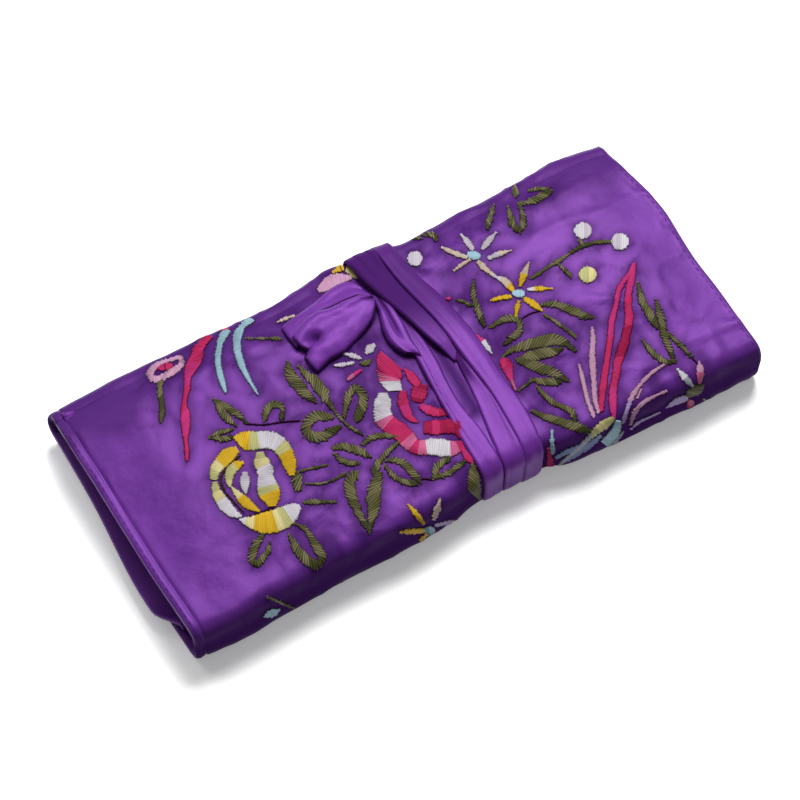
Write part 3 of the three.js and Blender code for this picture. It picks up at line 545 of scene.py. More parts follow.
BLOSSOMS = [
    ("blush", 0, 1.2, [(153, 381, 6), (150, 375, 8), (154, 368, 7), (162, 363, 5), (172, 360, 5),
      (180, 358, 6), (182, 364, 7), (176, 370, 7), (168, 375, 7), (160, 379, 7), (154, 380, 7)]),
    ("crimson", 0, 1.2, [(158, 369, 4), (165, 367, 9), (173, 366, 5)]),
    ("pearl", 10, 1.2, [(461, 235, 2), (467, 242, 7), (473, 250, 5)]),
    ("pearl", 10, 1.2, [(496, 233, 2), (489, 241, 7), (482, 250, 5)]),
    ("sand pearl", 10, 1.2, [(511, 251, 2), (500, 254, 6), (488, 259, 4)]),
    ("sand", 10, 1.2, [(442, 248, 3), (453, 253, 6), (467, 258, 4)]),
    ("sand", 10, 1.2, [(454, 271, 3), (462, 265, 5), (470, 260, 4)]),
    ("sky", 0, 1.1, [(468, 255, 6), (474, 256, 10), (480, 257, 6)]),
    ("sand sand pearl sand gold", 10, 1.2, [(478, 262, 5), (484, 268, 7), (490, 273, 4),
      (497, 278, 4), (504, 281, 8), (510, 287, 7), (514, 292, 4)]),
    ("sand gold", 10, 1.2, [(529, 263, 2), (525, 272, 8), (520, 287, 4)]),
    ("gold gold white", 10, 1.2, [(552, 289, 2), (540, 289, 6), (528, 290, 4)]),
    ("gold", 10, 1.2, [(542, 311, 3), (533, 304, 8), (524, 299, 5)]),
    ("gold", 10, 1.2, [(516, 317, 3), (517, 309, 6), (519, 301, 4)]),
    ("gold", 10, 1.2, [(491, 301, 3), (502, 298, 5), (512, 297, 4)]),
    ("sky", 0, 1.1, [(513, 293, 6), (518, 294, 10), (524, 294, 6)]),
    ("gold", 10, 1.2, [(408, 505, 2), (415, 513, 6), (424, 524, 4)]),
    ("sand", 10, 1.5, [(440, 499, 2), (437, 509, 7), (433, 520, 4)]),
    ("lilac", 10, 1.2, [(457, 519, 1), (447, 522, 4), (434, 525, 4)]),
    ("gold", 10, 1.2, [(400, 532, 2), (411, 531, 6), (424, 530, 4)]),
    ("gold", 10, 1.2, [(408, 550, 2), (417, 543, 5), (426, 534, 4)]),
    ("teal sky", 0, 1.1, [(424, 529, 5), (429, 530, 10), (434, 529, 5)]),
    ("magenta", 0, 1.1, [(446, 299, 3), (449, 299, 4), (451, 299, 2)]),
    ("rose magenta", 0, 1.1, [(347, 381, 2), (354, 375, 5), (362, 370, 2)]),
    ("pearl", 0, 1.1, [(344, 354, 2), (352, 356, 6), (361, 359, 3)]),
    ("pearl", 0, 1.1, [(334, 366, 2), (344, 365, 5), (354, 363, 3)]),
    ("pearl", 0, 1.1, [(366, 354, 4), (370, 349, 9), (375, 345, 4)]),
    ("magenta white white", 0, 1.1, [(476, 335, 2), (482, 341, 6), (487, 347, 6), (492, 354, 2)]),
    ("crimson magenta rose", 0, 1.1, [(501, 361, 6), (506, 364, 13), (508, 370, 11), (511, 379, 6),
      (516, 391, 2)]),
    ("white silver", 0, 1.1, [(677, 369, 2), (684, 377, 7), (693, 387, 4)]),
    ("blush rose", 0, 1.1, [(699, 362, 3), (700, 371, 8), (699, 383, 4)]),
    ("lilac", 0, 1.1, [(666, 407, 2), (676, 401, 7), (687, 397, 6)]),
    ("rose crimson", 0, 1.1, [(691, 400, 6), (689, 406, 7), (687, 411, 3)]),
    ("sand", 0, 1.1, [(700, 403, 5), (704, 399, 5)]),
    ("blush", 0, 1.1, [(319, 291, 6), (326, 286, 13), (334, 281, 14), (343, 279, 10),
      (351, 278, 5)]),
    ("gold butter", 0, 1.1, [(333, 273, 3), (340, 269, 7), (347, 268, 9), (353, 273, 9),
      (358, 279, 5)]),
    ("sand", 0, 1.1, [(277, 323, 1.5), (286, 319, 3), (295, 316, 2)]),
]
BERRIES = [("pearl", 415, 259, 7.6), ("white pearl", 583, 231, 8.8), ("pearl white", 620, 242, 8.8),
           ("lime butter", 588, 275, 8.8)]
for colours, across, down, half in BERRIES:
    chords = [(across + t * half, down, 2 * half * math.sqrt(1 - t * t))
              for t in (-0.97, -0.8, -0.45, 0, 0.45, 0.8, 0.97)]
    BLOSSOMS.append((colours, 0, 1.1, chords))
LEAVES = [
    [(213, 399, 1), (222, 404, 6), (231, 410, 8), (240, 417, 6), (247, 424, 2)],
    [(213, 400, 1), (219, 408, 7), (226, 417, 8), (233, 423, 5), (237, 427, 2)],
    [(209, 438, 1), (216, 434, 5), (224, 432, 6), (233, 430, 3)],
    [(210, 439, 1), (217, 439, 6), (226, 439, 6), (233, 436, 4)],
    [(264, 421, 4), (266, 412, 7), (271, 406, 8), (277, 405, 8), (282, 409, 6), (282, 416, 5),
     (280, 421, 3)],
    [(263, 534, 4), (257, 543, 8), (253, 553, 9), (253, 561, 8), (258, 565, 5)],
    [(258, 564, 6), (264, 557, 6), (269, 549, 5), (270, 542, 2)],
    [(289, 535, 3), (294, 545, 7), (300, 554, 9), (308, 561, 11), (317, 566, 8)],
    [(295, 524, 3), (305, 529, 5), (312, 539, 7), (318, 549, 10), (321, 558, 9), (318, 566, 5)],
    [(298, 473, 2), (296, 479, 11), (299, 485, 12), (302, 490, 3)],
    [(288, 362, 3), (291, 374, 11), (297, 384, 13), (304, 393, 11), (312, 400, 6), (317, 404, 2)],
    [(298, 366, 3), (307, 376, 8), (316, 384, 13), (323, 392, 12), (328, 401, 8), (333, 409, 4)],
    [(332, 408, 3), (339, 417, 4), (347, 425, 4), (356, 431, 3), (364, 436, 2)],
    [(333, 417, 4), (325, 416, 9), (315, 417, 11), (308, 424, 11), (307, 432, 11), (315, 437, 11),
     (325, 435, 11), (333, 430, 9), (341, 426, 3)],
    [(344, 417, 3), (346, 405, 7), (349, 395, 8), (356, 388, 8), (362, 394, 9), (363, 404, 9),
     (359, 414, 10), (355, 421, 4)],
    [(333, 449, 3), (342, 447, 8), (352, 449, 9), (362, 452, 8), (372, 458, 2)],
    [(335, 454, 3), (341, 460, 6), (348, 463, 6), (359, 464, 3)],
    [(363, 445, 4), (370, 439, 7), (379, 436, 7), (389, 436, 6), (400, 437, 4)],
    [(386, 461, 3), (392, 460, 5), (401, 462, 8), (410, 470, 8), (417, 479, 7), (421, 484, 2)],
    [(385, 466, 3), (391, 474, 5), (399, 480, 6), (408, 483, 8), (417, 483, 5)],
    [(433, 480, 2), (436, 469, 8), (442, 463, 8), (451, 459, 4)],
    [(436, 478, 4), (447, 474, 7), (456, 468, 6), (465, 461, 4)],
    [(473, 463, 2), (474, 472, 9), (474, 484, 13), (474, 496, 13), (474, 507, 10), (473, 514, 3)],
    [(485, 478, 3), (489, 488, 7), (488, 499, 5)],
    [(358, 475, 8), (352, 479, 12), (350, 488, 12), (352, 498, 11), (356, 508, 9), (361, 518, 7),
     (367, 528, 6), (369, 534, 2)],
    [(379, 473, 5), (376, 481, 11), (374, 490, 14), (374, 500, 15), (374, 510, 12), (372, 520, 8),
     (369, 533, 2)],
    [(399, 442, 3), (390, 450, 5), (382, 459, 6), (376, 468, 8), (373, 476, 7)],
    [(410, 241, 3), (420, 238, 5), (428, 235, 7), (435, 237, 6), (437, 241, 3)],
    [(494, 205, 3), (491, 216, 6), (488, 224, 6), (487, 230, 3)],
    [(508, 207, 3), (510, 216, 6), (513, 224, 8), (518, 230, 6)],
    [(520, 206, 4), (523, 216, 6), (523, 225, 6), (519, 232, 5)],
    [(518, 204, 3), (528, 203, 6), (538, 199, 8), (547, 193, 8), (552, 190, 3)],
    [(529, 191, 3), (540, 189, 4), (549, 190, 6)],
    [(499, 193, 2), (506, 189, 5), (513, 186, 4)],
    [(514, 195, 6), (518, 187, 11), (522, 181, 8), (524, 178, 3)],
    [(474, 279, 1), (473, 288, 5), (474, 298, 6), (477, 308, 7), (481, 318, 7), (485, 327, 3)],
    [(456, 300, 1), (464, 302, 3), (472, 307, 4)],
    [(490, 328, 3), (498, 323, 6), (507, 319, 7), (516, 319, 7), (520, 325, 6), (518, 333, 7),
     (511, 339, 7), (504, 346, 3)],
    [(503, 357, 3), (510, 351, 6), (520, 347, 9), (532, 344, 11), (545, 341, 13), (557, 341, 11),
     (567, 345, 7), (576, 352, 2)],
    [(517, 360, 3), (530, 357, 9), (542, 354, 12), (554, 351, 9), (563, 348, 4)],
    [(519, 361, 4), (530, 364, 9), (542, 369, 11), (553, 373, 9), (562, 378, 6), (569, 382, 2)],
    [(531, 380, 3), (542, 382, 8), (552, 382, 8), (562, 382, 3)],
    [(542, 305, 3), (552, 304, 6), (563, 307, 8), (575, 312, 9), (586, 317, 7), (594, 318, 2)],
    [(537, 387, 3), (544, 395, 6), (552, 402, 6), (562, 407, 6), (571, 412, 7), (575, 419, 6),
     (572, 426, 3)],
    [(532, 411, 3), (543, 416, 7), (555, 420, 8), (567, 424, 9), (579, 428, 9), (590, 432, 5)],
    [(638, 283, 2), (640, 295, 6), (645, 307, 8), (652, 318, 8), (658, 328, 4)],
    [(656, 300, 2), (659, 311, 6), (662, 323, 8), (664, 335, 7), (669, 348, 6), (675, 364, 3)],
    [(642, 340, 2), (648, 348, 5), (657, 357, 6), (666, 362, 6), (675, 361, 3)],
    [(667, 333, 3), (676, 341, 5), (685, 350, 5), (692, 358, 3)],
    [(688, 396, 6), (692, 393, 11), (697, 388, 11), (700, 384, 6)],
    [(361, 363, 5), (366, 363, 8), (371, 363, 4)],
]
STEMS = [
    [(170, 371, 3), (165, 376, 5), (161, 382, 6), (160, 392, 6), (162, 404, 7), (162, 415, 6),
     (161, 424, 2)],
    [(531, 279, 3), (540, 273, 4), (549, 267, 4), (557, 262, 5), (565, 257, 4), (574, 251, 4),
     (583, 246, 5), (594, 243, 4), (606, 242, 4), (613, 242, 3)],
    [(557, 263, 3), (564, 270, 4), (572, 277, 5)],
    [(579, 240, 3), (584, 246, 4)],
    [(299, 472, 2), (310, 469, 3), (320, 467, 3), (327, 465, 2)],
    [(306, 484, 2), (320, 484, 3), (332, 481, 3), (346, 473, 3)],
    [(304, 503, 3), (315, 502, 6), (325, 502, 4), (336, 502, 2)],
    [(544, 315, 2), (554, 321, 4), (565, 329, 4), (577, 338, 3)],
    [(519, 391, 2), (525, 386, 2.5), (533, 380, 2)],
    [(267, 597, 2), (282, 603, 2.5), (297, 609, 2)],
    [(246, 339, 2), (262, 339, 2.5), (282, 339, 4)],
]
FINE_LINES = [
    [(247, 424, 1.5), (262, 425, 1.6), (283, 422, 1.5), (301, 421, 1.4)],
    [(520, 320, 1.4), (530, 314, 1.6), (540, 311, 1.4)],
    [(691, 357, 1.6), (695, 361, 1.6), (700, 366, 1.4)],
    [(412, 480, 1.2), (424, 479, 1.4), (434, 480, 1.2)],
]
LEAF_ROWS = [("olive moss olive moss fern", 38 if k % 2 else -38, 1.5, spine)
             for k, spine in enumerate(LEAVES)]
STEM_ROWS = [("olive moss fern olive", 40, 1.5, spine) for spine in STEMS]
LINE_ROWS = [("plum", 55, 1.6, spine) for spine in FINE_LINES]
MOTIFS = [
    # name, then kinds of rows, each with half a thread's width and how dull every second one is
    ("embroidery_yellow_rose", [(ROSE_YELLOW, 0.27, 0.16)]),
    ("embroidery_red_rose", [(ROSE_RED, 0.27, 0.16)]),
    ("embroidery_ribbons", [(RIBBONS, 0.27, 0.16)]),
    ("embroidery_blossoms", [(BLOSSOMS, 0.27, 0.16)]),
    ("embroidery_leaves", [(LEAF_ROWS, 0.28, 0.55)]),
    ("embroidery_stems", [(STEM_ROWS, 0.26, 0.4), (LINE_ROWS, 0.2, 0.0)]),
]
THREAD_RISE, THREAD_LIFT, LONGEST_JUMP = 0.2, 0.06, 3.0
RAGGED, TONE_RANGE, BAND_MIX = (-0.6, 0.65), (0.9, 1.08), 0.8
cloth_verts = [v.co.copy() for piece in (cover, inner_cover) for v in piece.data.vertices]
cloth_faces = [tuple(f.vertices) for f in cover.data.polygons]
later = len(cover.data.vertices)
cloth_faces += [tuple(later + v for v in f.vertices) for f in inner_cover.data.polygons]
cloth_tree = BVHTree.FromPolygons(cloth_verts, cloth_faces)
rng = random.Random(4)


def on_cloth(across, down):
    """Where a point of the photo falls on the satin, and which way the satin faces there."""
    return cloth_tree.ray_cast(camera.location, sight(across, down).normalized())[:2]


def curve_through(points, step):
    """Points every step along a smooth line through keys of (across, down, width)."""
    keys = np.array(points, float)
    run = np.concatenate([[0], np.cumsum(np.hypot(*np.diff(keys[:, :2], axis=0).T))])
    slopes = np.gradient(keys, run, axis=0)
    places = np.arange(0, run[-1], step)
    k = np.clip(np.searchsorted(run, places, side="right") - 1, 0, len(run) - 2)
    gap = (run[k + 1] - run[k])[:, None]
    t = ((places - run[k])[:, None]) / gap
    curve = (
        (2 * t**3 - 3 * t**2 + 1) * keys[k] + (t**3 - 2 * t**2 + t) * gap * slopes[k]
        + (3 * t**2 - 2 * t**3) * keys[k + 1] + (t**3 - t**2) * gap * slopes[k + 1]
    )
    return curve, np.gradient(curve[:, :2], axis=0)


def lay_threads(colours, slant, spacing, spine, half_wide, ribs):
    """The threads of one row: for each, its points on the cloth, its colour and half its width.

    A thread's ends sink into the cloth and are drawn near black, partly as a dark outline and
    partly as painted shade; with ribs, every second thread is dull.
    """
    threads = []
    curve, along = curve_through(spine, spacing)
    for i, (across, down, width) in enumerate(curve):
        ax, ay = along[i] / max(np.hypot(*along[i]), 1e-9)
        lean = math.tan(math.radians(slant)) * width / 2
        reach = width / 2 + rng.uniform(*RAGGED) * (1 + 1.6 * ribs)
        half = np.array((ax * lean - ay * reach, ax * reach + ay * lean))
        start, end = (across, down) - half, (across, down) + half
        count = max(3, min(7, round(width / 3.2) + 2))
        dark = min(0.2, 1.0 / max(width, 2.0))
        inner = [dark + (1 - 2 * dark) * (j + 0.5) / count for j in range(count)]
        band = (i + rng.uniform(-BAND_MIX, BAND_MIX)) / max(1, len(curve)) * len(colours)
        colour = colours[min(len(colours) - 1, max(0, int(band)))]
        tone = rng.uniform(*TONE_RANGE) * (1 - ribs * (i % 2))
        thread = []
        for t in (0.0, dark, *inner, 1 - dark, 1.0):
            place, facing = on_cloth(*(start + (end - start) * t))
            if place is None:
                break
            lift = THREAD_LIFT + THREAD_RISE * math.sin(math.pi * (0.06 + 0.88 * t)) ** 0.6
            thread.append((place + facing * lift * MM, facing, 0.0 if t in (0.0, 1.0) else tone))
        jumps = [(b[0] - a[0]).length for a, b in zip(thread, thread[1:])]
        if len(thread) == count + 4 and max(jumps) < LONGEST_JUMP * MM:
            threads.append((thread, colour, half_wide))
    return threads


def thread_mesh(name, threads):
    """One mesh of low, closed threads, with their floss colours in a colour attribute."""
    verts, faces, tints = [], [], []
    for thread, colour, half_wide in threads:
        first, last = len(verts), len(thread) - 1
        base = [FLOSS_LEVEL * c**2.2 for c in FLOSS[colour]]
        for j, (place, facing, shade) in enumerate(thread):
            way = thread[min(j + 1, last)][0] - thread[max(j - 1, 0)][0]
            half = half_wide * MM * (0.55 if j in (0, last) else 1.0)
            side, up = way.cross(facing).normalized() * half, facing * half * 0.8
            verts += [place - side, place + up, place + side, place - up]
            # Ends take the near-black colour: a dark outline and painted shade where the thread
            # sinks in.
            tints += [(*(c * shade for c in base), 1.0) if shade else (*OUTLINE_AND_SHADE, 1.0)] * 4
        for j in range(last):
            for k in range(4):
                a, b = first + 4 * j + k, first + 4 * j + (k + 1) % 4
                faces.append((a, b, b + 4, a + 4))
        faces.append((first + 3, first + 2, first + 1, first))
        faces.append(tuple(first + 4 * last + k for k in range(4)))
    mesh = bpy.data.meshes.new(name)
    mesh.from_pydata([tuple(v) for v in verts], [], faces)
    tint = mesh.color_attributes.new(name="floss", type="FLOAT_COLOR", domain="POINT")
    tint.data.foreach_set("color", np.array(tints, np.float32).ravel())
    mesh.shade_smooth()
    piece = link_piece(name, mesh)
    piece.data.materials.append(floss)
    return piece


floss, tree, shader = new_material("rayon_floss")
tint = add_node(tree, "Attribute", {"attribute_name": "floss"}).outputs["Color"]
set_inputs(tree, shader, Base_Color=tint, Specular_Tint=tint, Specular_IOR_Level=0.6,
           Roughness=0.42)
embroidered, back_threads = [], []
for name, kinds in MOTIFS:
    threads = []
    for rows, half_wide, ribs in kinds:
        for colours, slant, spacing, spine in rows:
            threads += lay_threads(colours.split(), slant, spacing, spine, half_wide, ribs)
    over = [max(point[0].y for point in thread[0]) > BACK_Y * MM for thread in threads]
    back_threads += [thread for thread, past in zip(threads, over) if past]
    motif = thread_mesh(name, [thread for thread, past in zip(threads, over) if not past])
    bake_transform(motif)
    embroidered.append(motif)
back_edge = thread_mesh("embroidery_back_edge", back_threads)
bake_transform(back_edge)
embroidered.append(back_edge)

# Pulled satin. Painted shade: the satin is drawn darker close round the embroidery, for the
# puckers where the stitches pull it, and along thin painted crease lines that run on from the
# embroidery into the plain cloth. Its shape stays as it is.
PULLED_SHADE_TONE, PULLED_SHADE_REACH = 0.52, 1.8
CREASE_SHADE_TONE, CREASE_SHADE_REACH = 0.6, 9.0
sewn = KDTree(sum(len(piece.data.vertices) // 4 + 1 for piece in embroidered))
for piece in embroidered:
    for k in range(0, len(piece.data.vertices), 4):
        sewn.insert(piece.data.vertices[k].co, k)
sewn.balance()


def paint_shade(piece, more):
    """Paints shade: makes the satin darker by this share at each point."""
    mark = piece.data.attributes["deep"].data
    deep = np.zeros(len(mark), np.float32)
    mark.foreach_get("value", deep)
    mark.foreach_set("value", np.clip(deep + more * (1 - deep), 0, 1).astype(np.float32))


for piece in (cover, inner_cover):
    gaps = np.array([sewn.find(v.co)[2] for v in piece.data.vertices]) / MM
    x, y, z = np.array([v.co for v in piece.data.vertices]).T / MM
    crease_shade = creases(x, y, z, 16.0, 9.3) + 0.8 * creases(x, y, z, 9.0, 1.3)
    crease_shade = CREASE_SHADE_TONE * crease_shade * np.exp(-gaps / CREASE_SHADE_REACH)
    paint_shade(piece, np.clip(PULLED_SHADE_TONE * bell(gaps, PULLED_SHADE_REACH) + crease_shade, 0, 0.8))

# Strap winding. A flat tube of the same satin goes three times round the waist, pressed flat like
# a ribbon. Its turns lie side by side in front and crowd over one another at the back.
STRAP_THICK, STRAP_GAP, STRAP_BACK_SHADE = 0.85, 0.1, 0.72
LOOP_BACK, LOOP_ROUND, LOOP_SCALE = 36.6, 8.4, 62
TOP_FROM, TOP_TO, TOP_STEP = -37.0, 36.0, 2.5
# The edges of the turns and of the last pass on top, as they are traced in the photo.
RIGHT_GROOVE = [(372, 252), (380, 261), (388, 270), (395, 279), (402, 287), (412, 297), (424, 309),
    (434, 319), (444, 331), (454, 344), (463, 356), (475, 371), (487, 386), (495, 398), (502, 410),
    (510, 424), (518, 439), (524, 449), (527, 459), (526, 470)]
RIGHT_EDGE = [(392, 247), (400, 258), (412, 270), (424, 280), (436, 290), (446, 299), (455, 309),
    (465, 320), (475, 332), (485, 346), (494, 360), (500, 371), (507, 381), (515, 391), (522, 401),
    (529, 412), (535, 424), (540, 438), (544, 450), (545, 462), (544, 470)]
MIDDLE_LEFT = [(395, 280), (412, 299), (434, 322), (443, 331), (449, 343), (455, 357), (460, 368),
    (466, 380), (472, 392), (478, 405), (483, 418), (487, 428), (490, 436), (496, 450), (501, 462),
    (504, 474)]
LEFT_LEFT = [(352, 276), (372, 292), (383, 304), (390, 313), (400, 328), (408, 343), (415, 355),
    (422, 368), (430, 383), (440, 402), (450, 418), (460, 438), (466, 447), (475, 462), (484, 475),
    (490, 486)]
LEFT_RIGHT = [(372, 276), (390, 296), (404, 312), (416, 327), (426, 340), (435, 354), (440, 363),
    (445, 375), (452, 388), (460, 402), (470, 414), (480, 425), (490, 440), (498, 452), (503, 465),
    (506, 475)]
TAIL_LEFT = [(345, 264), (352, 272), (360, 279), (370, 288), (380, 297), (390, 305), (400, 313),
    (410, 322), (420, 331), (430, 340), (440, 347), (448, 353), (456, 359)]
# How high they lie above the cloth from front to back: y, at the left edge and at the right.
LEFT_LIFT = [(-37, 0.2, 0.0), (0, 0.4, 0.0), (36, 0.4, 0.2)]
MIDDLE_LIFT = [(-37, 0.1, 0.0), (-20, 0.1, 0.0), (-5, 0.0, 0.3), (6, 0.0, 0.7), (36, 0.5, 0.9)]
RIGHT_LIFT = [(-37, 0.5, 0.2), (-20, 0.9, 0.2), (0, 1.7, 0.4), (12, 2.2, 0.4), (36, 2.4, 1.0)]
TAIL_LIFT = [(-4, 0.6, 0.2), (6, 1.7, 0.7), (20, 2.4, 0.9), (36, 2.6, 1.0)]


def at_level(across, down, level):
    """The place of a point of the photo at that height over the floor, in millimetres."""
    way = sight(across, down)
    place = camera.location + way * ((level * MM - camera.location.z) / way.z)
    return place.x / MM, place.y / MM


def traced_edge(points, level, aside=0.0):
    """An edge of the photo as x for each y on the roll."""
    line = sorted((at_level(a + aside, d, level) for a, d in points), key=lambda p: p[1])
    places = np.maximum.accumulate(np.array([p[1] for p in line]) + 1e-4 * np.arange(len(line)))
    return lambda y: float(np.interp(y, places, [p[0] for p in line]))


def loop_table():
    """The line round the waist: 0 to 1 under it, to 2 in front, to 3 on top, to 4 behind."""
    low, high = RECESS, TOP_Z
    half, middle = (high - low) / 2, (high + low) / 2
    start = FRONT_DEPTH - float(front_line(TIE_X))
    turn, even = np.linspace(0, math.pi, 41), np.linspace(0, 1, 41)
    side, rise = np.sin(turn) ** FRONT_POWER, rounded(np.cos(turn), FRONT_POWER)
    ys = np.concatenate([
        (LOOP_BACK + (start - LOOP_BACK) * even)[:-1], (start - FRONT_DEPTH * side)[:-1],
        (start + (LOOP_BACK - start) * even)[:-1], LOOP_BACK + LOOP_ROUND * side,
    ])
    zs = np.concatenate([(0 * even + low)[:-1], (middle - half * rise)[:-1],
                         (0 * even + high)[:-1], middle + half * rise])
    along_y, along_z = np.gradient(ys), np.gradient(zs)
    return np.linspace(0, 4, len(ys)), ys, zs, -along_z, along_y, start


loop_q, loop_y, loop_z, loop_ny, loop_nz, LOOP_START = loop_table()


def top_place(y):
    """The place round the waist of a point on top."""
    return 2 + (y - LOOP_START) / (LOOP_BACK - LOOP_START)


def top_keys(turn, left_edge, right_edge, lifts, y_from=TOP_FROM):
    """Keys of a strap, as strap_mesh takes them, on top of the roll."""
    places, lefts, rights = zip(*lifts)
    return [
        (4 * turn + top_place(y), left_edge(y), right_edge(y),
         float(np.interp(y, places, lefts)), float(np.interp(y, places, rights)))
        for y in np.linspace(y_from, TOP_TO, round((TOP_TO - y_from) / TOP_STEP) + 1)
    ]


def strap_mesh(name, keys, step, thick, seed, shade, taper=False):
    """A flat tube along keys of (place round the waist, left, right, height left, height right)."""
    columns = np.array(keys).T
    count = round((columns[0][-1] - columns[0][0]) * LOOP_SCALE / step)
    places = np.linspace(columns[0][0], columns[0][-1], count + 1)
    kernel = np.hanning(7) / np.hanning(7).sum()
    even = [np.pad(np.interp(places, columns[0], v), 3, mode="edge") for v in columns[1:]]
    left, right, low_left, low_right = (np.convolve(v, kernel, mode="valid")[:, None] for v in even)
    turn = (places % 4)[:, None]
    y, z, ny, nz = (np.interp(turn, loop_q, v) for v in (loop_y, loop_z, loop_ny, loop_nz))
    half = [1, 0.99, 0.96, 0.91, 0.85, 0.78, 0.69, 0.6, 0.51, 0.42, 0.33, 0.24, 0.16, 0.08]
    across = np.array([-v for v in half] + [0] + half[::-1])[None, :]
    run = np.arange(count + 1)[:, None] * step
    drift = 0.3 * noise_at(run * 0.02, 0, 0, 1.0, seed)
    crease = 0
    for k, place in enumerate((-0.42, 0.3)):
        strong = smooth(2.2 * noise_at(run * 0.03, 7 * k, 0, 1.0, seed + 3))
        crease = crease + strong * bell(across - place - drift * (1 + 0.4 * k), 0.06)
    soft = noise_at(run * 0.05, across * 1.3, 0, 1.0, seed + 2.5) * (1 - np.abs(across) ** 4)
    rim = 0.14 * bell(across + 0.84, 0.1) + 0.1 * bell(across - 0.86, 0.1)
    ends = np.minimum(1, np.minimum(run + 0.05, run[::-1] + 0.05) / 6) if taper else 1
    full = thick * (1 - np.abs(across) ** 7) + rim * (1 - np.abs(across) ** 16)
    full = (full + 0.28 * soft - 0.3 * crease + 0.05) * ends
    base = STRAP_GAP + low_left + (low_right - low_left) * (across + 1) / 2
    x, out = left + (right - left) * (across + 1) / 2, np.hypot(ny, nz)
    upper, lower = (
        np.stack([x, y + ny / out * level, z + nz / out * level], -1)
        for level in (base + np.maximum(full, 0.03), base)
    )
    # Painted shade: the turns are drawn darker over the back of the waist, along both edges and in
    # their creases, and where shade() adds more.
    behind = STRAP_BACK_SHADE * smooth((turn - 2.48) / 0.32) * smooth((3.9 - turn) / 0.2)
    edge = smooth((across - 0.86) / 0.12) + smooth((-across - 0.9) / 0.09)
    deep = np.clip(behind + 0.85 * edge + 0.35 * crease + shade(turn, across, run), 0, 1)
    ring, deep = (np.concatenate([a, b[:, ::-1]], 1) for a, b in ((upper, lower), (deep, deep)))
    return tube_mesh(name, ring, deep)


def tube_mesh(name, ring, deep=None):
    """A closed tube from rings of points, in metres, with painted shade in "deep" marks as on the
    cover.
    """
    count, around = ring.shape[:2]
    faces = []
    for i in range(count - 1):
        for k in range(around):
            a, b = i * around + k, i * around + (k + 1) % around
            faces.append((a, b, b + around, a + around))
    faces.append(tuple(range(around))[::-1])
    faces.append(tuple(range((count - 1) * around, count * around)))
    mesh = bpy.data.meshes.new(name)
    mesh.from_pydata((ring.reshape(-1, 3) * MM).tolist(), [], faces)
    if deep is not None:
        mark_painted_shade(mesh, deep)
    bm = bmesh.new()
    bm.from_mesh(mesh)
    bmesh.ops.remove_doubles(bm, verts=bm.verts, dist=0.01 * MM)
    bmesh.ops.recalc_face_normals(bm, faces=bm.faces)
    bm.to_mesh(mesh)
    bm.free()
    mesh.shade_smooth()
    return link_piece(name, mesh)


def tie_piece(piece, *nodes):
    """Tie cloth gets the strap's satin and a mesh of its own, and moves with the outer flap."""
    piece.data.materials.append(strap_satin)
    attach(piece, "outer_flap")
    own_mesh(piece)
    if nodes:
        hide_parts(*nodes)


strap_satin = satin("strap_satin", (0.1, 0.021, 0.195), (0.078, 0.016, 0.16), 0.36)
STRAP_LEVEL = TOP_Z + 1.2
left_left, left_right, middle_left, right_edge = (
    traced_edge(points, STRAP_LEVEL) for points in (LEFT_LEFT, LEFT_RIGHT, MIDDLE_LEFT, RIGHT_EDGE)
)
right_groove = traced_edge(RIGHT_GROOVE, STRAP_LEVEL + 1)
tail_left = traced_edge(TAIL_LEFT, STRAP_LEVEL + 1)
under_right = traced_edge(RIGHT_GROOVE, STRAP_LEVEL, 5)
keys = [(0.0, 1.2, 7.6, 0.0, 0.0), (1.0, 1.2, 7.2, 0.0, 0.0)]
keys += top_keys(0, left_left, left_right, LEFT_LIFT)
keys += [(3.25, 5.2, 10.4, 0.2, 0.2), (3.8, 6.0, 12.0, 0.0, 0.0), (5.0, 7.6, 13.2, 0.0, 0.0)]
keys += top_keys(1, middle_left, under_right, MIDDLE_LIFT)
keys += [(7.25, 11.0, 16.0, 0.6, 0.6), (7.8, 10.5, 16.5, 0.2, 0.2), (9.0, 13.6, 20.6, 0.2, 0.2)]
keys += top_keys(2, right_groove, right_edge, RIGHT_LIFT)
keys += [(11.25, 12.6, 19.4, 2.2, 1.4), (11.8, 13.0, 20.0, 0.3, 0.3)]


def painted_shade_between_turns(turn, across, run):
    """Painted shade: the middle turn is drawn darker on its left, as in the others' shade, and the
    first one on its right.
    """
    length = run[-1, 0]
    middle = (run > length * 0.36) & (run < length * 0.66) & (turn > 2.05) & (turn < 2.85)
    first = (run < length * 0.33) & (turn > 2.15) & (turn < 2.95)
    on_top = smooth((turn - 2.24) / 0.12) * smooth((2.85 - turn) / 0.15)
    shade = middle * on_top * smooth((0.25 - across) / 0.4)
    return shade + 0.7 * first * smooth((across - 0.7) / 0.2)


winding = strap_mesh("strap_winding", keys, 1.3, STRAP_THICK, 4.4, painted_shade_between_turns)
tie_piece(winding, "tie_winding")

# Strap tail. The strap's last pass comes up over the back edge and crosses the other turns, and
# narrows to where it is tucked under the right-hand one.
keys = top_keys(0, tail_left, under_right, TAIL_LIFT, -3.0)
keys += [(3.15, 3.2, 13.8, 2.4, 2.4), (3.5, 3.2, 12.6, 1.6, 1.6), (3.8, 3.6, 11.0, 0.2, 0.2)]
# The tail is painted in shade all along at a quarter strength, on top of the shade at the back.
tail = strap_mesh("strap_tail", keys, 1.1, 0.9, 7.7, lambda turn, across, run: 0.25 + 0 * run, True)
tie_piece(tail, "tie_tail")

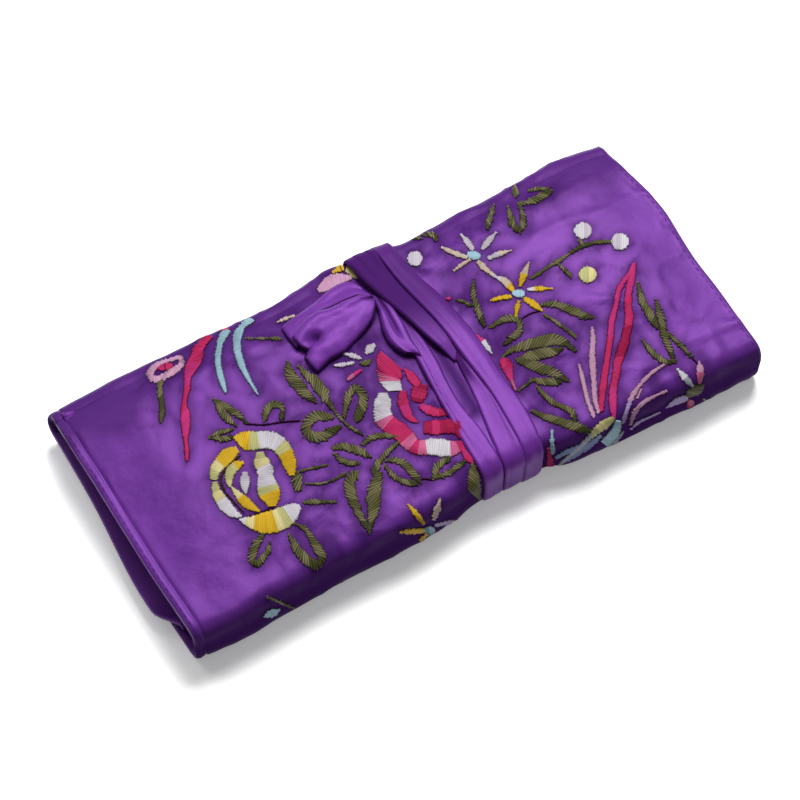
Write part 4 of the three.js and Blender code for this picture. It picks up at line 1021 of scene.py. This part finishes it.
# Loose end of the strap. It lies to the left of the tie, softly crushed: an upper strip of it
# shows behind, and the body in front stands clear of the cloth, its mouth pushed in above a
# small lower lobe. Edges are traced in the photo.
STRIP_OUTER = [(358, 286), (352, 282), (344, 282), (336, 285), (328, 290), (321, 297), (314, 303),
    (303, 311), (292, 318), (284, 325), (281, 328)]
BODY_UPPER = [(372, 298), (358, 296), (345, 301), (330, 308), (315, 312), (305, 319), (298, 328),
    (292, 337)]
BODY_LOWER = [(376, 302), (375, 310), (372, 320), (364, 332), (356, 341), (345, 352), (330, 360),
    (318, 372)]
BODY_MOUTH = [(318, 372), (310, 365), (304, 356), (309, 350), (300, 346), (292, 337)]
STRIP_MOUTH = [(297, 348), (288, 338), (281, 328)]
STRIP_LEVELS, BODY_LEVELS = (21.0, 19.4), (21.2, 21.7)


def cloth_top(x, y):
    """Height of the top panel's satin with its creases."""
    return top_level(x, y) + cover_wrinkle(x, y, top_level(x, y))


def evenly(points, shares):
    """Places at these shares of the length along a line of points."""
    line = np.array(points, float)
    run = np.concatenate([[0], np.cumsum(np.hypot(*np.diff(line, axis=0).T))])
    return np.stack([np.interp(np.asarray(shares) * run[-1], run, line[:, i]) for i in (0, 1)], -1)


def traced_patch(lower, upper, mouth, levels, rows, wide):
    """Points of a patch between two traced edges that end at a traced mouth: s, w and x, y."""
    s, w = np.meshgrid(np.linspace(0, 1, rows), np.linspace(0, 1, wide), indexing="ij")
    low, high = evenly(lower, s[:, 0]), evenly(upper, s[:, 0])
    bent = evenly(mouth, w[0]) - (low[-1] + (high[-1] - low[-1]) * w[0][:, None])
    spot = low[:, None] + (high - low)[:, None] * w[..., None]
    spot = spot + bent * smooth((s - 0.45) / 0.55)[..., None]
    level = levels[0] + (levels[1] - levels[0]) * w
    places = [at_level(a, d, z) for a, d, z in zip(*spot.reshape(-1, 2).T, level.ravel())]
    x, y = np.array(places).T.reshape(2, rows, wide)
    return s, w, x, y, level


def closed_patch(name, x, y, low, high, deep):
    """A closed body between two sheets of points over the same places: the upper sheet carries the
    painted shade given, the lower one is painted in shade at 0.9.
    """
    upper, lower = np.stack([x, y, high], -1), np.stack([x, y, low], -1)
    marks = np.concatenate([np.clip(deep, 0, 1), 0 * x + 0.9], 1)
    return tube_mesh(name, np.concatenate([upper, lower[:, ::-1]], 1), marks)


s, w, x, y, level = traced_patch(BODY_LOWER, BODY_UPPER, BODY_MOUTH, BODY_LEVELS, 60, 46)
edge = np.clip(1 - np.abs(2 * w - 1) ** 9, 0, 1) ** 0.5
crush = 0.4 * noise_at(x, y, 0, 8.0, 12.3) + 0.14 * noise_at(x, y, 0, 3.0, 1.3)
dimple = 2.7 * bell(s - 0.84, 0.085) * bell(w - 0.55 - 0.8 * (s - 0.84), 0.13)
pinch = 1.7 * bell(w - 0.42, 0.07) * smooth((s - 0.86) / 0.14)
swell = 0.9 * bell(w - 0.34, 0.34) * smooth(s / 0.5) + 0.6 * bell(w - 0.85, 0.14)
body = (0.9 + swell + crush) * edge * (1 - 0.55 * s**10) - (dimple + pinch) * edge
bottom = level - 1.5 - 0.6 * (1 - w) * smooth(s * 2)
# Painted shade: darker along the body's long edges, in the dimple and pinch, at the mouth and where
# it goes under the tie.
dark = 0.8 * smooth((0.06 - w) / 0.05) + 0.5 * smooth((w - 0.95) / 0.05) + 0.22 * dimple
dark += 0.8 * smooth((s - 0.96) / 0.04) + 0.7 * smooth((0.12 - s) / 0.12) + 0.3 * pinch
loose = closed_patch("strap_loose_end", x, y, bottom, np.maximum(level + body, bottom + 0.3), dark)
tie_piece(loose, "tie_loose_end")
s, w, x, y, level = traced_patch(BODY_UPPER, STRIP_OUTER, STRIP_MOUTH, STRIP_LEVELS, 46, 16)
ridges = 0.22 * np.sin(w * 9 + 2 * s) * (1 - s) + 0.3 * noise_at(x, y, 0, 6.0, 2.3)
# Painted shade: darker along both long edges and at the mouth.
dark = 0.75 * smooth((0.14 - w) / 0.12) + 0.6 * smooth((w - 0.9) / 0.1)
dark += 0.8 * smooth((s - 0.95) / 0.05)
body = (0.6 + ridges) * np.clip(1 - w**6, 0, 1) ** 0.5 * (1 - 0.5 * s**10)
high = np.maximum(level, cloth_top(x, y) + 0.4) + body
strip = closed_patch("strap_loose_strip", x, y, cloth_top(x, y) + 0.2, high, dark)
tie_piece(strip)

# Tucked loop. A short fold of the strap's satin bulges out beside the left-hand turn. It goes flat
# at both ends, where it slips under the turns.
TUCK_LEFT = [(370, 294), (374, 303), (378, 312), (380, 322), (383, 332), (388, 342), (395, 349),
    (404, 354), (413, 353)]
TUCK_RIGHT = [(388, 300), (395, 310), (403, 322), (408, 332), (412, 340), (416, 346), (419, 350),
    (420, 353), (421, 355)]
TUCK_MOUTH = [(413, 353), (421, 355)]
s, w, x, y, level = traced_patch(TUCK_LEFT, TUCK_RIGHT, TUCK_MOUTH, (19.2, 19.8), 40, 20)
arch = np.clip(1 - np.abs(2 * w - 1) ** 4, 0, 1) ** 0.6 * np.sin(np.clip(s, 0, 1) * math.pi) ** 0.4
groove = 1.1 * bell(w - 0.42 - 0.25 * s, 0.09) * smooth((0.75 - s) / 0.3)
rim = 0.5 * bell(w - 0.16, 0.1)
high = level + arch * (0.9 + rim - groove + 0.3 * noise_at(x, y, 0, 5.0, 3.3))
# Painted shade: darker along both edges, in the groove and towards the end where it slips under the
# turns.
dark = 0.8 * smooth((0.1 - w) / 0.1) + 0.8 * smooth((w - 0.85) / 0.15)
dark = dark + 0.5 * groove + 0.5 * smooth((0.35 - s) / 0.3)
high = np.maximum(high, cloth_top(x, y) + 0.4)
tuck = closed_patch("strap_tucked_loop", x, y, cloth_top(x, y) + 0.1, high, dark)
tie_piece(tuck)

# Satin beside the loose end and between the turns. Painted shadow: the cloth under the loose
# end's lower edge, beside the tucked loop and in the gap between the turns is drawn dark, as the
# shadow they cast. Its shape stays as it is.
PAINTED_SHADOW_TONE, PAINTED_SHADOW_REACH, SHADOW_TRACE_LEVEL = 0.95, 2.6, 18.5
BETWEEN = [(424, 326), (434, 342), (444, 358), (452, 370), (459, 382), (467, 396), (477, 412)]
shadow_lines = []
for traced in (BODY_LOWER[1:] + TUCK_LEFT[4:], BETWEEN):
    under = [at_level(a, d, SHADOW_TRACE_LEVEL) for a, d in traced]
    shadow_lines += [np.linspace(a, b, 8, endpoint=False) for a, b in zip(under, under[1:])]
shadow_lines = np.concatenate(shadow_lines)
x, y, z = np.array([v.co for v in cover.data.vertices]).T / MM
beside = (z > 12) & (x > -40) & (x < 26) & (y > -25) & (y < 45)
gaps = np.min(np.hypot(shadow_lines[:, 0] - x[beside, None], shadow_lines[:, 1] - y[beside, None]), axis=1)
more = np.zeros(len(x))
more[beside] = PAINTED_SHADOW_TONE * bell(gaps, PAINTED_SHADOW_REACH)
paint_shade(cover, more)

# Wadding. A thin sheet of polyester wadding lies in each panel between the satin and the lining,
# cut short of the seams. It fills the panel and stays soft.
WADDING = [
    # name, CAD node, body, its y from and to, and its lower and upper side
    ("outer_wadding", "outer_flap_padding", "outer_flap", -36.5, 37.6,
     lambda x, y: RECESS * waist(x) + 0.6, lambda x, y: 3.0 - 1.4 * end_share(x)),
    ("middle_wadding", "middle_padding", "middle_panel", -36.5, 34.0,
     lambda x, y: 16.55, lambda x, y: top_level(x, y) - 1.3),
    ("inner_wadding", "inner_flap_padding", "inner_flap", -31.0, 40.0,
     lambda x, y: inner_level(x) + 0.7, lambda x, y: inner_level(x) + 1.3),
]


def two_tones(tree, share, low, high):
    """A colour between two, for a texture's value."""
    ramp = add_node(tree, "ValToRGB", Fac=share)
    ramp.color_ramp.elements[0].color, ramp.color_ramp.elements[1].color = (*low, 1), (*high, 1)
    return ramp.outputs["Color"]


fleece, tree, shader = new_material("wadding")
here = add_node(tree, "TexCoord").outputs["Object"]
fibres = add_node(tree, "TexNoise", Vector=here, Scale=900.0, Detail=6.0).outputs["Fac"]
matted = add_node(tree, "Bump", Strength=0.6, Distance=0.0004, Height=fibres)
set_inputs(tree, shader, Base_Color=two_tones(tree, fibres, (0.62, 0.6, 0.56), (0.82, 0.8, 0.76)),
           Roughness=0.95, Normal=matted.outputs["Normal"])


def panel_grid(y_from, y_to, x_half, step):
    """Stations over a flat piece, about a step apart."""
    xs = np.linspace(-x_half, x_half, round(2 * x_half / step) + 1)
    ys = np.linspace(y_from, y_to, round((y_to - y_from) / step) + 1)
    return np.meshgrid(xs, ys)


for name, node, body, y_from, y_to, under, over in WADDING:
    x, y = panel_grid(y_from, y_to, 92.0, 3.0)
    low = under(x, y) + 0 * x
    high = np.maximum(over(x, y) + 0.12 * noise_at(x, y, 0, 9.0, 7.1), low + 0.25)
    slab = closed_patch(name, x, pinched(x, y), low, high, 0 * x)
    slab.data.materials.append(fleece)
    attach(slab, body)
    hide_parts(node)

# Linings. Each panel is lined with the same satin in a darker purple. The outer flap's and the
# middle panel's lining have a slit, with its edges turned under, where a zip opens the pocket
# behind. The linings lie a little slack.
LINING_SLACK, LINING_THICK, LINING_HALF = 0.16, 0.3, 97.0
ZIP_HALF, ZIP_WIDE = 73.0, 4.6
OUTER_ZIP_Y, MIDDLE_ZIP_Y = 4.0, -30.0
lining_satin = satin("lining_satin", (0.12, 0.026, 0.22), (0.095, 0.02, 0.18), 0.46)


def lining_grid(y_from, y_to, slit_y):
    """Stations across a lining, with exact rows and columns at the slit's edges."""
    xs = np.linspace(-LINING_HALF, LINING_HALF, 98)
    ys = np.linspace(y_from, y_to, round((y_to - y_from) / 2.0) + 1)
    if slit_y is not None:
        xs = xs[np.abs(np.abs(xs) - ZIP_HALF) > 1.0]
        xs = np.unique(np.concatenate([xs, [-ZIP_HALF, ZIP_HALF]]))
        edges = [slit_y - ZIP_WIDE, slit_y + ZIP_WIDE]
        keep = np.min([np.abs(ys - e) for e in edges], axis=0) > 0.9
        ys = np.unique(np.concatenate([ys[keep], edges]))
    return np.meshgrid(xs, ys)


def flatten(piece):
    """Turns a piece with its modifiers into a plain mesh."""
    evaluated = piece.evaluated_get(bpy.context.evaluated_depsgraph_get())
    mesh = bpy.data.meshes.new_from_object(evaluated)
    mesh.name = piece.name
    piece.modifiers.clear()
    piece.data = mesh


def make_lining(sheet, thick):
    """Gives a sheet its thickness and the lining's satin."""
    sheet.modifiers.new("cloth", "SOLIDIFY").thickness = thick * MM
    flatten(sheet)
    sheet.data.materials.append(lining_satin)
    return sheet


def lining_piece(name, level, y_from, y_to, slit_y, face_up):
    """A lining at that height, slack inside its edges, with a slit if slit_y is given."""
    x, y = lining_grid(y_from, y_to, slit_y)
    edge = smooth(np.minimum(np.minimum(y - y_from, y_to - y), LINING_HALF - np.abs(x)) / 6)
    slack = LINING_SLACK * edge * noise_at(x, y, 0, 13.0, 5.5)
    if slit_y is not None:
        past_x, past_y = np.abs(x) - ZIP_HALF, np.abs(y - slit_y) - ZIP_WIDE
        slack = slack * smooth(np.hypot(np.maximum(past_x, 0), np.maximum(past_y, 0)) / 5)
    piece = grid_mesh(name, x, pinched(x, y), level(x, y) + slack, flip=not face_up)
    if slit_y is not None:
        bm = bmesh.new()
        bm.from_mesh(piece.data)
        middles = [(face, face.calc_center_median() / MM) for face in bm.faces]
        inside = [face for face, middle in middles
                  if abs(middle.x) < ZIP_HALF and abs(middle.y - slit_y) < ZIP_WIDE]
        bmesh.ops.delete(bm, geom=inside, context="FACES")
        bm.to_mesh(piece.data)
        bm.free()
    return make_lining(piece, LINING_THICK)


def outer_level(x, y):
    """The outer flap's lining, which comes down inside the hem at the back."""
    down = smooth((y - 38.4) / 3.4)
    return (4.7 - 1.9 * end_share(x)) * (1 - down) + (RECESS * waist(x) + 2.3) * down


LININGS = [
    # name, CAD node, body, what it lies on, y from and to, slit's y, whether it faces up, height
    ("outer_lining", "outer_flap_lining", "outer_flap", "outer_flap_padding",
     -37.6, 41.8, OUTER_ZIP_Y, True, outer_level),
    ("middle_lining_cloth", "middle_lining", "middle_panel", "middle_padding",
     -37.6, 41.2, MIDDLE_ZIP_Y, False, lambda x, y: 15.02 - 0.1 * end_share(x)),
    ("inner_lining", "inner_flap_lining", "inner_flap", "inner_flap_padding",
     -35.6, 41.2, None, True, lambda x, y: inner_level(x) + 1.85 + 0.75 * end_share(x)),
]
linings = {}
for name, node, body, under, y_from, y_to, slit_y, face_up, level in LININGS:
    linings[name] = lining_piece(name, level, y_from, y_to, slit_y, face_up)
    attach(linings[name], body)
    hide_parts(node)

# Fold linings. The lining goes on round the inside of both folds, clear of the satin by the
# wadding's thickness.
FOLD_ROWS = 18


def fold_lining(name, y_edge, reach, low, high):
    """The lining round a fold that reaches past y_edge, from the height low to high."""
    x = np.linspace(-LINING_HALF, LINING_HALF, 120) + np.zeros((FOLD_ROWS, 1))
    angle = np.linspace(-math.pi / 2, math.pi / 2, FOLD_ROWS)[:, None]
    y = y_edge + reach * np.cos(angle) ** BACK_POWER + 0 * x
    z = (low(x) + high) / 2 + (high - low(x)) / 2 * rounded(np.sin(angle), BACK_POWER)
    slack = 0.25 * noise_at(x, y, z, 11.0, 4.8) * np.cos(angle)
    strip = make_lining(grid_mesh(name, x, pinched(x, y + slack), z, flip=y_edge < 0), LINING_SLACK)
    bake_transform(strip)
    return strip


front_lining = fold_lining(
    "front_fold_lining", -37.4, -6.3, lambda x: 4.6 - 1.9 * end_share(x), 15.1,
)
back_lining = fold_lining(
    "back_fold_lining", 41.0, 3.6, lambda x: inner_level(x) + 1.9 + 0.75 * end_share(x), 15.0,
)

# Pocket backs and slip pocket. A plain piece of lining behind each zip closes its pocket. On the
# inner flap a wide slip pocket is stitched down on three sides and hemmed at its mouth.
POCKET_THICK = 0.22


def slip_level(x, y):
    """The slip pocket's cloth, which stands open a little at its mouth."""
    mouth = 0.45 * smooth((y - 6.0) / 6.5) * np.cos(x / 88.0 * math.pi / 2)
    return inner_level(x) + 2.2 + 0.75 * end_share(x) + mouth


POCKETS = [
    # name, CAD node, body, half its length, y from and to, whether it faces up, height
    ("outer_pocket_cloth", "outer_pocket_back", "outer_flap",
     73.4, -33.6, 36.0, True, lambda x, y: 3.42),
    ("middle_pocket_cloth", "middle_pocket_back", "middle_panel",
     73.4, -33.6, 36.0, False, lambda x, y: 16.2),
    ("slip_pocket", "inner_slip_pocket", "inner_flap", 88.0, -33.0, 12.4, True, slip_level),
]
for name, node, body, x_half, y_from, y_to, face_up, level in POCKETS:
    x, y = panel_grid(y_from, y_to, x_half, 2.5)
    z = level(x, y) + 0.1 * noise_at(x, y, 0, 17.0, 2.9)
    sheet = make_lining(grid_mesh(name, x, y, z, flip=not face_up), POCKET_THICK)
    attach(sheet, body)
    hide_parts(node)

# Ring bar. A roll of satin stuffed firm, on which rings are pushed: closed and gathered at both
# ends, sewn to the lining by a tab at its left end, with a flat tongue at the free end.
BAR_X, BAR_LENGTH, BAR_Y, BAR_Z = -65.75, 127.75, 28.0, 12.54
BAR_WIDE, BAR_HIGH, BAR_ROWS = 15.6, 4.1, 96
TONGUE_LONG, TONGUE_LAPS, TONGUE_WIDE, TONGUE_HIGH = 14.0, 5.0, 10.6, 1.0
SLAB_ROUND = 0.42
run = np.arange(BAR_ROWS + 1)[:, None] / BAR_ROWS
turn = np.linspace(0, 2 * math.pi, 32, endpoint=False)
from_end = np.minimum(run, 1 - run) * BAR_LENGTH
swell = 0.16 + 0.84 * np.minimum(1.0, from_end / 6.5) ** 0.45
flute = 1 + 0.13 * np.exp(-from_end / 3.2) * np.sin(9 * turn)
y = rounded(np.cos(turn), 0.85) * BAR_WIDE / 2 * swell * flute
z = rounded(np.sin(turn), 0.75) * BAR_HIGH / 2 * np.minimum(1.0, swell + 0.1) * flute
x = BAR_X + run * BAR_LENGTH + 0 * y
lump = 1 + 0.035 * noise_at(x, BAR_Y + y, BAR_Z + z, 9.0, 6.6)
bar = tube_mesh("ring_bar_padded", np.stack([x, BAR_Y + y * lump, BAR_Z + z * lump], -1))
bar_satin = satin("bar_satin", (0.14, 0.03, 0.26), (0.11, 0.024, 0.21), 0.4)
bar.data.materials.append(bar_satin)


def soft_slab(name, x_from, x_to, y_from, y_to, z_mid, high, material, body):
    """A flat sewn piece with rounded edges."""
    bpy.ops.mesh.primitive_cube_add(size=1)
    slab = bpy.context.object
    slab.name = name
    middle = Vector(((x_from + x_to) / 2, (y_from + y_to) / 2, z_mid)) * MM
    slab.data.transform(Matrix.Diagonal(((x_to - x_from) * MM, (y_to - y_from) * MM, high * MM, 1)))
    slab.data.transform(Matrix.Translation(middle))
    edge = slab.modifiers.new("edge", "BEVEL")
    edge.width = high * SLAB_ROUND * MM
    edge.segments = 3
    flatten(slab)
    slab.data.shade_smooth()
    slab.data.materials.append(material)
    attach(slab, body)
    return slab


bar_end = BAR_X + BAR_LENGTH
soft_slab("ring_bar_tongue", bar_end - TONGUE_LAPS, bar_end + TONGUE_LONG, BAR_Y - TONGUE_WIDE / 2,
          BAR_Y + TONGUE_WIDE / 2, BAR_Z, TONGUE_HIGH, bar_satin, "ring_bar")
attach(bar, "ring_bar")
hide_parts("ring_bar")


def hooked(name, rough_scale):
    """Touch fastener: dark nylon with a fine rough face."""
    material, tree, shader = new_material(name)
    here = add_node(tree, "TexCoord").outputs["Object"]
    grain = add_node(tree, "TexVoronoi", Vector=here, Scale=rough_scale)
    bump = add_node(tree, "Bump", Distance=0.0003, Height=grain.outputs["Distance"])
    set_inputs(tree, shader, Base_Color=(0.07, 0.022, 0.14, 1), Roughness=0.9,
               Normal=bump.outputs["Normal"])
    return material


SLAB_HALF = 4.4
SLABS = [
    # name, CAD node, body, x from and to, height of its middle, thickness, material, slot
    ("ring_bar_tab_cloth", "ring_bar_tab", "middle_panel", -75.0, -66.0, 14.34, 0.75,
     bar_satin, "satin"),
    ("touch_pad_hooks", "ring_bar_hook_pad", "ring_bar", 62.6, 72.4, 13.54, 0.42,
     hooked("hook_face", 1600), "touch_fastener"),
    ("touch_pad_loops", "ring_bar_loop_pad", "middle_panel", 62.6, 72.4, 14.48, 0.46,
     hooked("loop_face", 900), "touch_fastener"),
]
for name, node, body, x_from, x_to, z_mid, high, material, slot in SLABS:
    slab = soft_slab(name, x_from, x_to, BAR_Y - SLAB_HALF, BAR_Y + SLAB_HALF, z_mid, high,
                     material, body)
    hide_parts(node)

# Stitching. Lockstitch in dark purple thread holds the turned-in ends, the zips' slits and the slip
# pocket: short rounded stitches, each pulled a little into the cloth.
STITCH_EVERY, STITCH_LONG, STITCH_THICK, SEAM_OUT = 2.6, 1.9, 0.3, 1.4


def stitch_tree(material):
    """Geometry nodes that lay a stitch at even steps along each line of a mesh of edges."""
    tree = bpy.data.node_groups.new("stitches", "GeometryNodeTree")
    face = tree.interface
    face.new_socket("Geometry", in_out="INPUT", socket_type="NodeSocketGeometry")
    names = [face.new_socket(label, in_out="INPUT", socket_type="NodeSocketFloat").identifier
             for label in ("Spacing", "Length", "Thickness")]
    face.new_socket("Geometry", in_out="OUTPUT", socket_type="NodeSocketGeometry")
    given = add_node(tree, "NodeGroupInput").outputs
    line = add_node(tree, "GeometryNodeMeshToCurve", Mesh=given["Geometry"]).outputs["Curve"]
    even = add_node(tree, "GeometryNodeResampleCurve", {"mode": "LENGTH"}, Curve=line,
                    Length=given["Spacing"])
    stitch = add_node(tree, "GeometryNodeMeshUVSphere", Segments=8, Rings=5, Radius=0.5)
    size = add_node(tree, "CombineXYZ", X=given["Length"], Y=given["Thickness"],
                    Z=given["Thickness"])
    way = add_node(tree, "GeometryNodeInputTangent").outputs["Tangent"]
    turn = add_node(tree, "FunctionNodeAlignRotationToVector", {"axis": "X"}, Vector=way)
    place = add_node(tree, "GeometryNodeInstanceOnPoints", Points=even.outputs["Curve"],
                     Instance=stitch.outputs["Mesh"], Rotation=turn.outputs["Rotation"],
                     Scale=size.outputs["Vector"])
    real = add_node(tree, "GeometryNodeRealizeInstances", Geometry=place.outputs["Instances"])
    dressed = add_node(tree, "GeometryNodeSetMaterial", Material=material,
                       Geometry=real.outputs["Geometry"])
    add_node(tree, "NodeGroupOutput", Geometry=dressed.outputs["Geometry"])
    return tree, names


thread, tree, shader = new_material("sewing_thread")
here = add_node(tree, "TexCoord").outputs["Object"]
twist = add_node(tree, "TexWave", {"bands_direction": "DIAGONAL"}, Vector=here, Scale=1500.0)
tone = two_tones(tree, twist.outputs["Fac"], (0.036, 0.008, 0.082), (0.062, 0.016, 0.135))
set_inputs(tree, shader, Base_Color=tone, Roughness=0.8, Specular_IOR_Level=0.1)
stitches, stitch_sizes = stitch_tree(thread)


def sew(name, lines):
    """Stitches along lines of points in millimetres, as a plain mesh."""
    verts, edges = [], []
    for line in lines:
        edges += [(len(verts) + k, len(verts) + k + 1) for k in range(len(line) - 1)]
        verts += [tuple(c * MM for c in p) for p in line]
    mesh = bpy.data.meshes.new(name)
    mesh.from_pydata(verts, edges, [])
    seam = link_piece(name, mesh)
    nodes = seam.modifiers.new("stitches", "NODES")
    nodes.node_group = stitches
    for name_in_tree, value in zip(stitch_sizes, (STITCH_EVERY, STITCH_LONG, STITCH_THICK)):
        nodes[name_in_tree] = value * MM
    flatten(seam)
    seam.data.shade_smooth()
    return seam


def hem_line(px, py, pz, left):
    """The line of the groove at one end of a piece of satin, inside its hem."""
    middle = px.shape[0] // 2
    near = [k for k in range(px.shape[1]) if abs(HALF_LENGTH - abs(px[middle, k]) - GROOVE_IN) < 1.6
            and (px[middle, k] < 0) == left]
    k, inside = near[len(near) // 2], slice(HEM_ROWS + 1, -HEM_ROWS - 1)
    return list(zip(px[inside, k], py[inside, k], np.maximum(pz[inside, k], STITCH_THICK)))


def slit_line(slit_y, level):
    """The stitch line round a zip's slit."""
    x, low, high = ZIP_HALF + SEAM_OUT, slit_y - ZIP_WIDE - SEAM_OUT, slit_y + ZIP_WIDE + SEAM_OUT
    corners = np.array(((-x, low, level), (x, low, level), (x, high, level), (-x, high, level)))
    line = []
    for a, b in zip(corners, np.roll(corners, -1, axis=0)):
        steps = max(2, round(np.linalg.norm(b - a) / 4))
        line += [a + (b - a) * k / steps for k in range(steps)]
    return line


seam = sew("stitches_cover_ends", [hem_line(px, py, pz, True), hem_line(px, py, pz, False)])
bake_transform(seam)
seam = sew("stitches_inner_ends", [hem_line(qx, qy, qz, True), hem_line(qx, qy, qz, False)])
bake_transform(seam)
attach(sew("stitches_outer_zip", [slit_line(OUTER_ZIP_Y, 4.76)]), "outer_flap")
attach(sew("stitches_middle_zip", [slit_line(MIDDLE_ZIP_Y, 15.0)]), "middle_panel")
down = np.linspace(11, -31.4, 22)
sides = [(-86.4, y) for y in down] + [(x, -31.4) for x in np.linspace(-84, 84, 80)]
sides += [(86.4, y) for y in down[::-1]]
mouth = [(x, 10.6) for x in np.linspace(-86, 86, 80)]
lines = [[(x, y, slip_level(x, y) + 0.06) for x, y in line] for line in (sides, mouth)]
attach(sew("stitches_slip_pocket", lines), "inner_flap")

# Zips. Each pocket closes with a fine coil zip on woven tape, in purple, with a nickel slider, pull
# and stops. Their shapes come from the part; here they get their materials.


def dress(material, *nodes):
    """Gives pieces of the part a material."""
    for node in nodes:
        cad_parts[node].material_slots[0].material = material


tape, tree, shader = new_material("zip_tape_weave")
here = add_node(tree, "TexCoord").outputs["Object"]
weave = add_node(tree, "TexWave", {"bands_direction": "DIAGONAL"}, Vector=here, Scale=620.0)
bump = add_node(tree, "Bump", Distance=0.0002, Height=weave.outputs["Fac"])
set_inputs(tree, shader, Base_Color=(0.06, 0.014, 0.125, 1), Roughness=0.9, Specular_IOR_Level=0.12,
           Normal=bump.outputs["Normal"])
coil, tree, shader = new_material("nylon_coil")
here = add_node(tree, "TexCoord").outputs["Object"]
cloud = add_node(tree, "TexNoise", Vector=here, Scale=400.0)
tone = two_tones(tree, cloud.outputs["Fac"], (0.075, 0.018, 0.16), (0.14, 0.04, 0.27))
set_inputs(tree, shader, Base_Color=tone, Roughness=0.45, Specular_IOR_Level=0.25,
           Specular_Tint=(0.6, 0.3, 0.92, 1))
nickel, tree, shader = new_material("nickel")
here = add_node(tree, "TexCoord").outputs["Object"]
wear = add_node(tree, "TexNoise", Vector=here, Scale=700.0, Detail=5.0).outputs["Fac"]
gloss = add_node(tree, "MapRange", Value=wear, To_Min=0.5, To_Max=0.68)
bump = add_node(tree, "Bump", Strength=0.15, Distance=0.0001, Height=wear)
set_inputs(tree, shader, Base_Color=(0.17, 0.165, 0.16, 1), Metallic=1.0,
           Roughness=gloss.outputs["Result"], Normal=bump.outputs["Normal"])
for side in ("outer", "middle"):
    dress(tape, f"{side}_zip_tape_front", f"{side}_zip_tape_back")
    dress(coil, f"{side}_zip_teeth_front", f"{side}_zip_teeth_back")
    dress(nickel, f"{side}_zip_slider", f"{side}_zip_pull", f"{side}_zip_bottom_stop",
          f"{side}_zip_top_stop_front", f"{side}_zip_top_stop_back")

# Floor and light. White paper under a large soft light from behind on the right and a weaker one
# from behind. The paper glows for rays from the camera, so it looks white round the roll's shadow.
FLOOR_HALF, PAPER_GLOW, FAR_GLOW = 12.0, 0.25, 0.85
bpy.ops.mesh.primitive_plane_add(size=2 * FLOOR_HALF)
floor = bpy.context.object
floor.name = "floor"
paper, tree, shader = new_material("paper")
seen = add_node(tree, "LightPath").outputs
here = add_node(tree, "TexCoord").outputs["Object"]
far = add_node(tree, "VectorMath", {"operation": "LENGTH"}, Vector=here).outputs["Value"]
glow = add_node(tree, "MapRange", Value=far, From_Min=0.45, From_Max=1.4,
                To_Min=PAPER_GLOW, To_Max=FAR_GLOW)
unlit = seen["Is Camera Ray"]
for kind in ("Is Glossy Ray", "Is Transmission Ray"):
    either = add_node(tree, "Math", {"operation": "MAXIMUM"})
    tree.links.new(unlit, either.inputs[0])
    tree.links.new(seen[kind], either.inputs[1])
    unlit = either.outputs[0]
strength = add_node(tree, "Math", {"operation": "MULTIPLY"})
tree.links.new(unlit, strength.inputs[0])
tree.links.new(glow.outputs["Result"], strength.inputs[1])
set_inputs(tree, shader, Base_Color=(0.93, 0.93, 0.93, 1), Roughness=1.0,
           Emission_Color=(1, 1, 1, 1), Emission_Strength=strength.outputs[0])
floor.data.materials.append(paper)
floor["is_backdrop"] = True


def soft_light(name, place, size, power):
    """A large square light, turned to the roll."""
    data = bpy.data.lights.new(name, "AREA")
    data.size = size
    data.energy = power
    lamp = link_piece(name, data)
    lamp.location = place
    lamp.rotation_mode = "QUATERNION"
    lamp.rotation_quaternion = (TARGET - Vector(place)).to_track_quat("-Z", "Y")


soft_light("key", (0.4, 0.48, 0.97), 0.55, 22.0)
soft_light("fill", (-0.3, 0.9, 0.9), 0.7, 4.0)
world = bpy.data.worlds.new("room")
bpy.context.scene.world = world
world.use_nodes = True
set_inputs(world.node_tree, world.node_tree.nodes["Background"], Color=(1, 1, 1, 1), Strength=0.2)
bpy.context.scene.view_settings.view_transform = "Standard"

low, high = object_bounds()
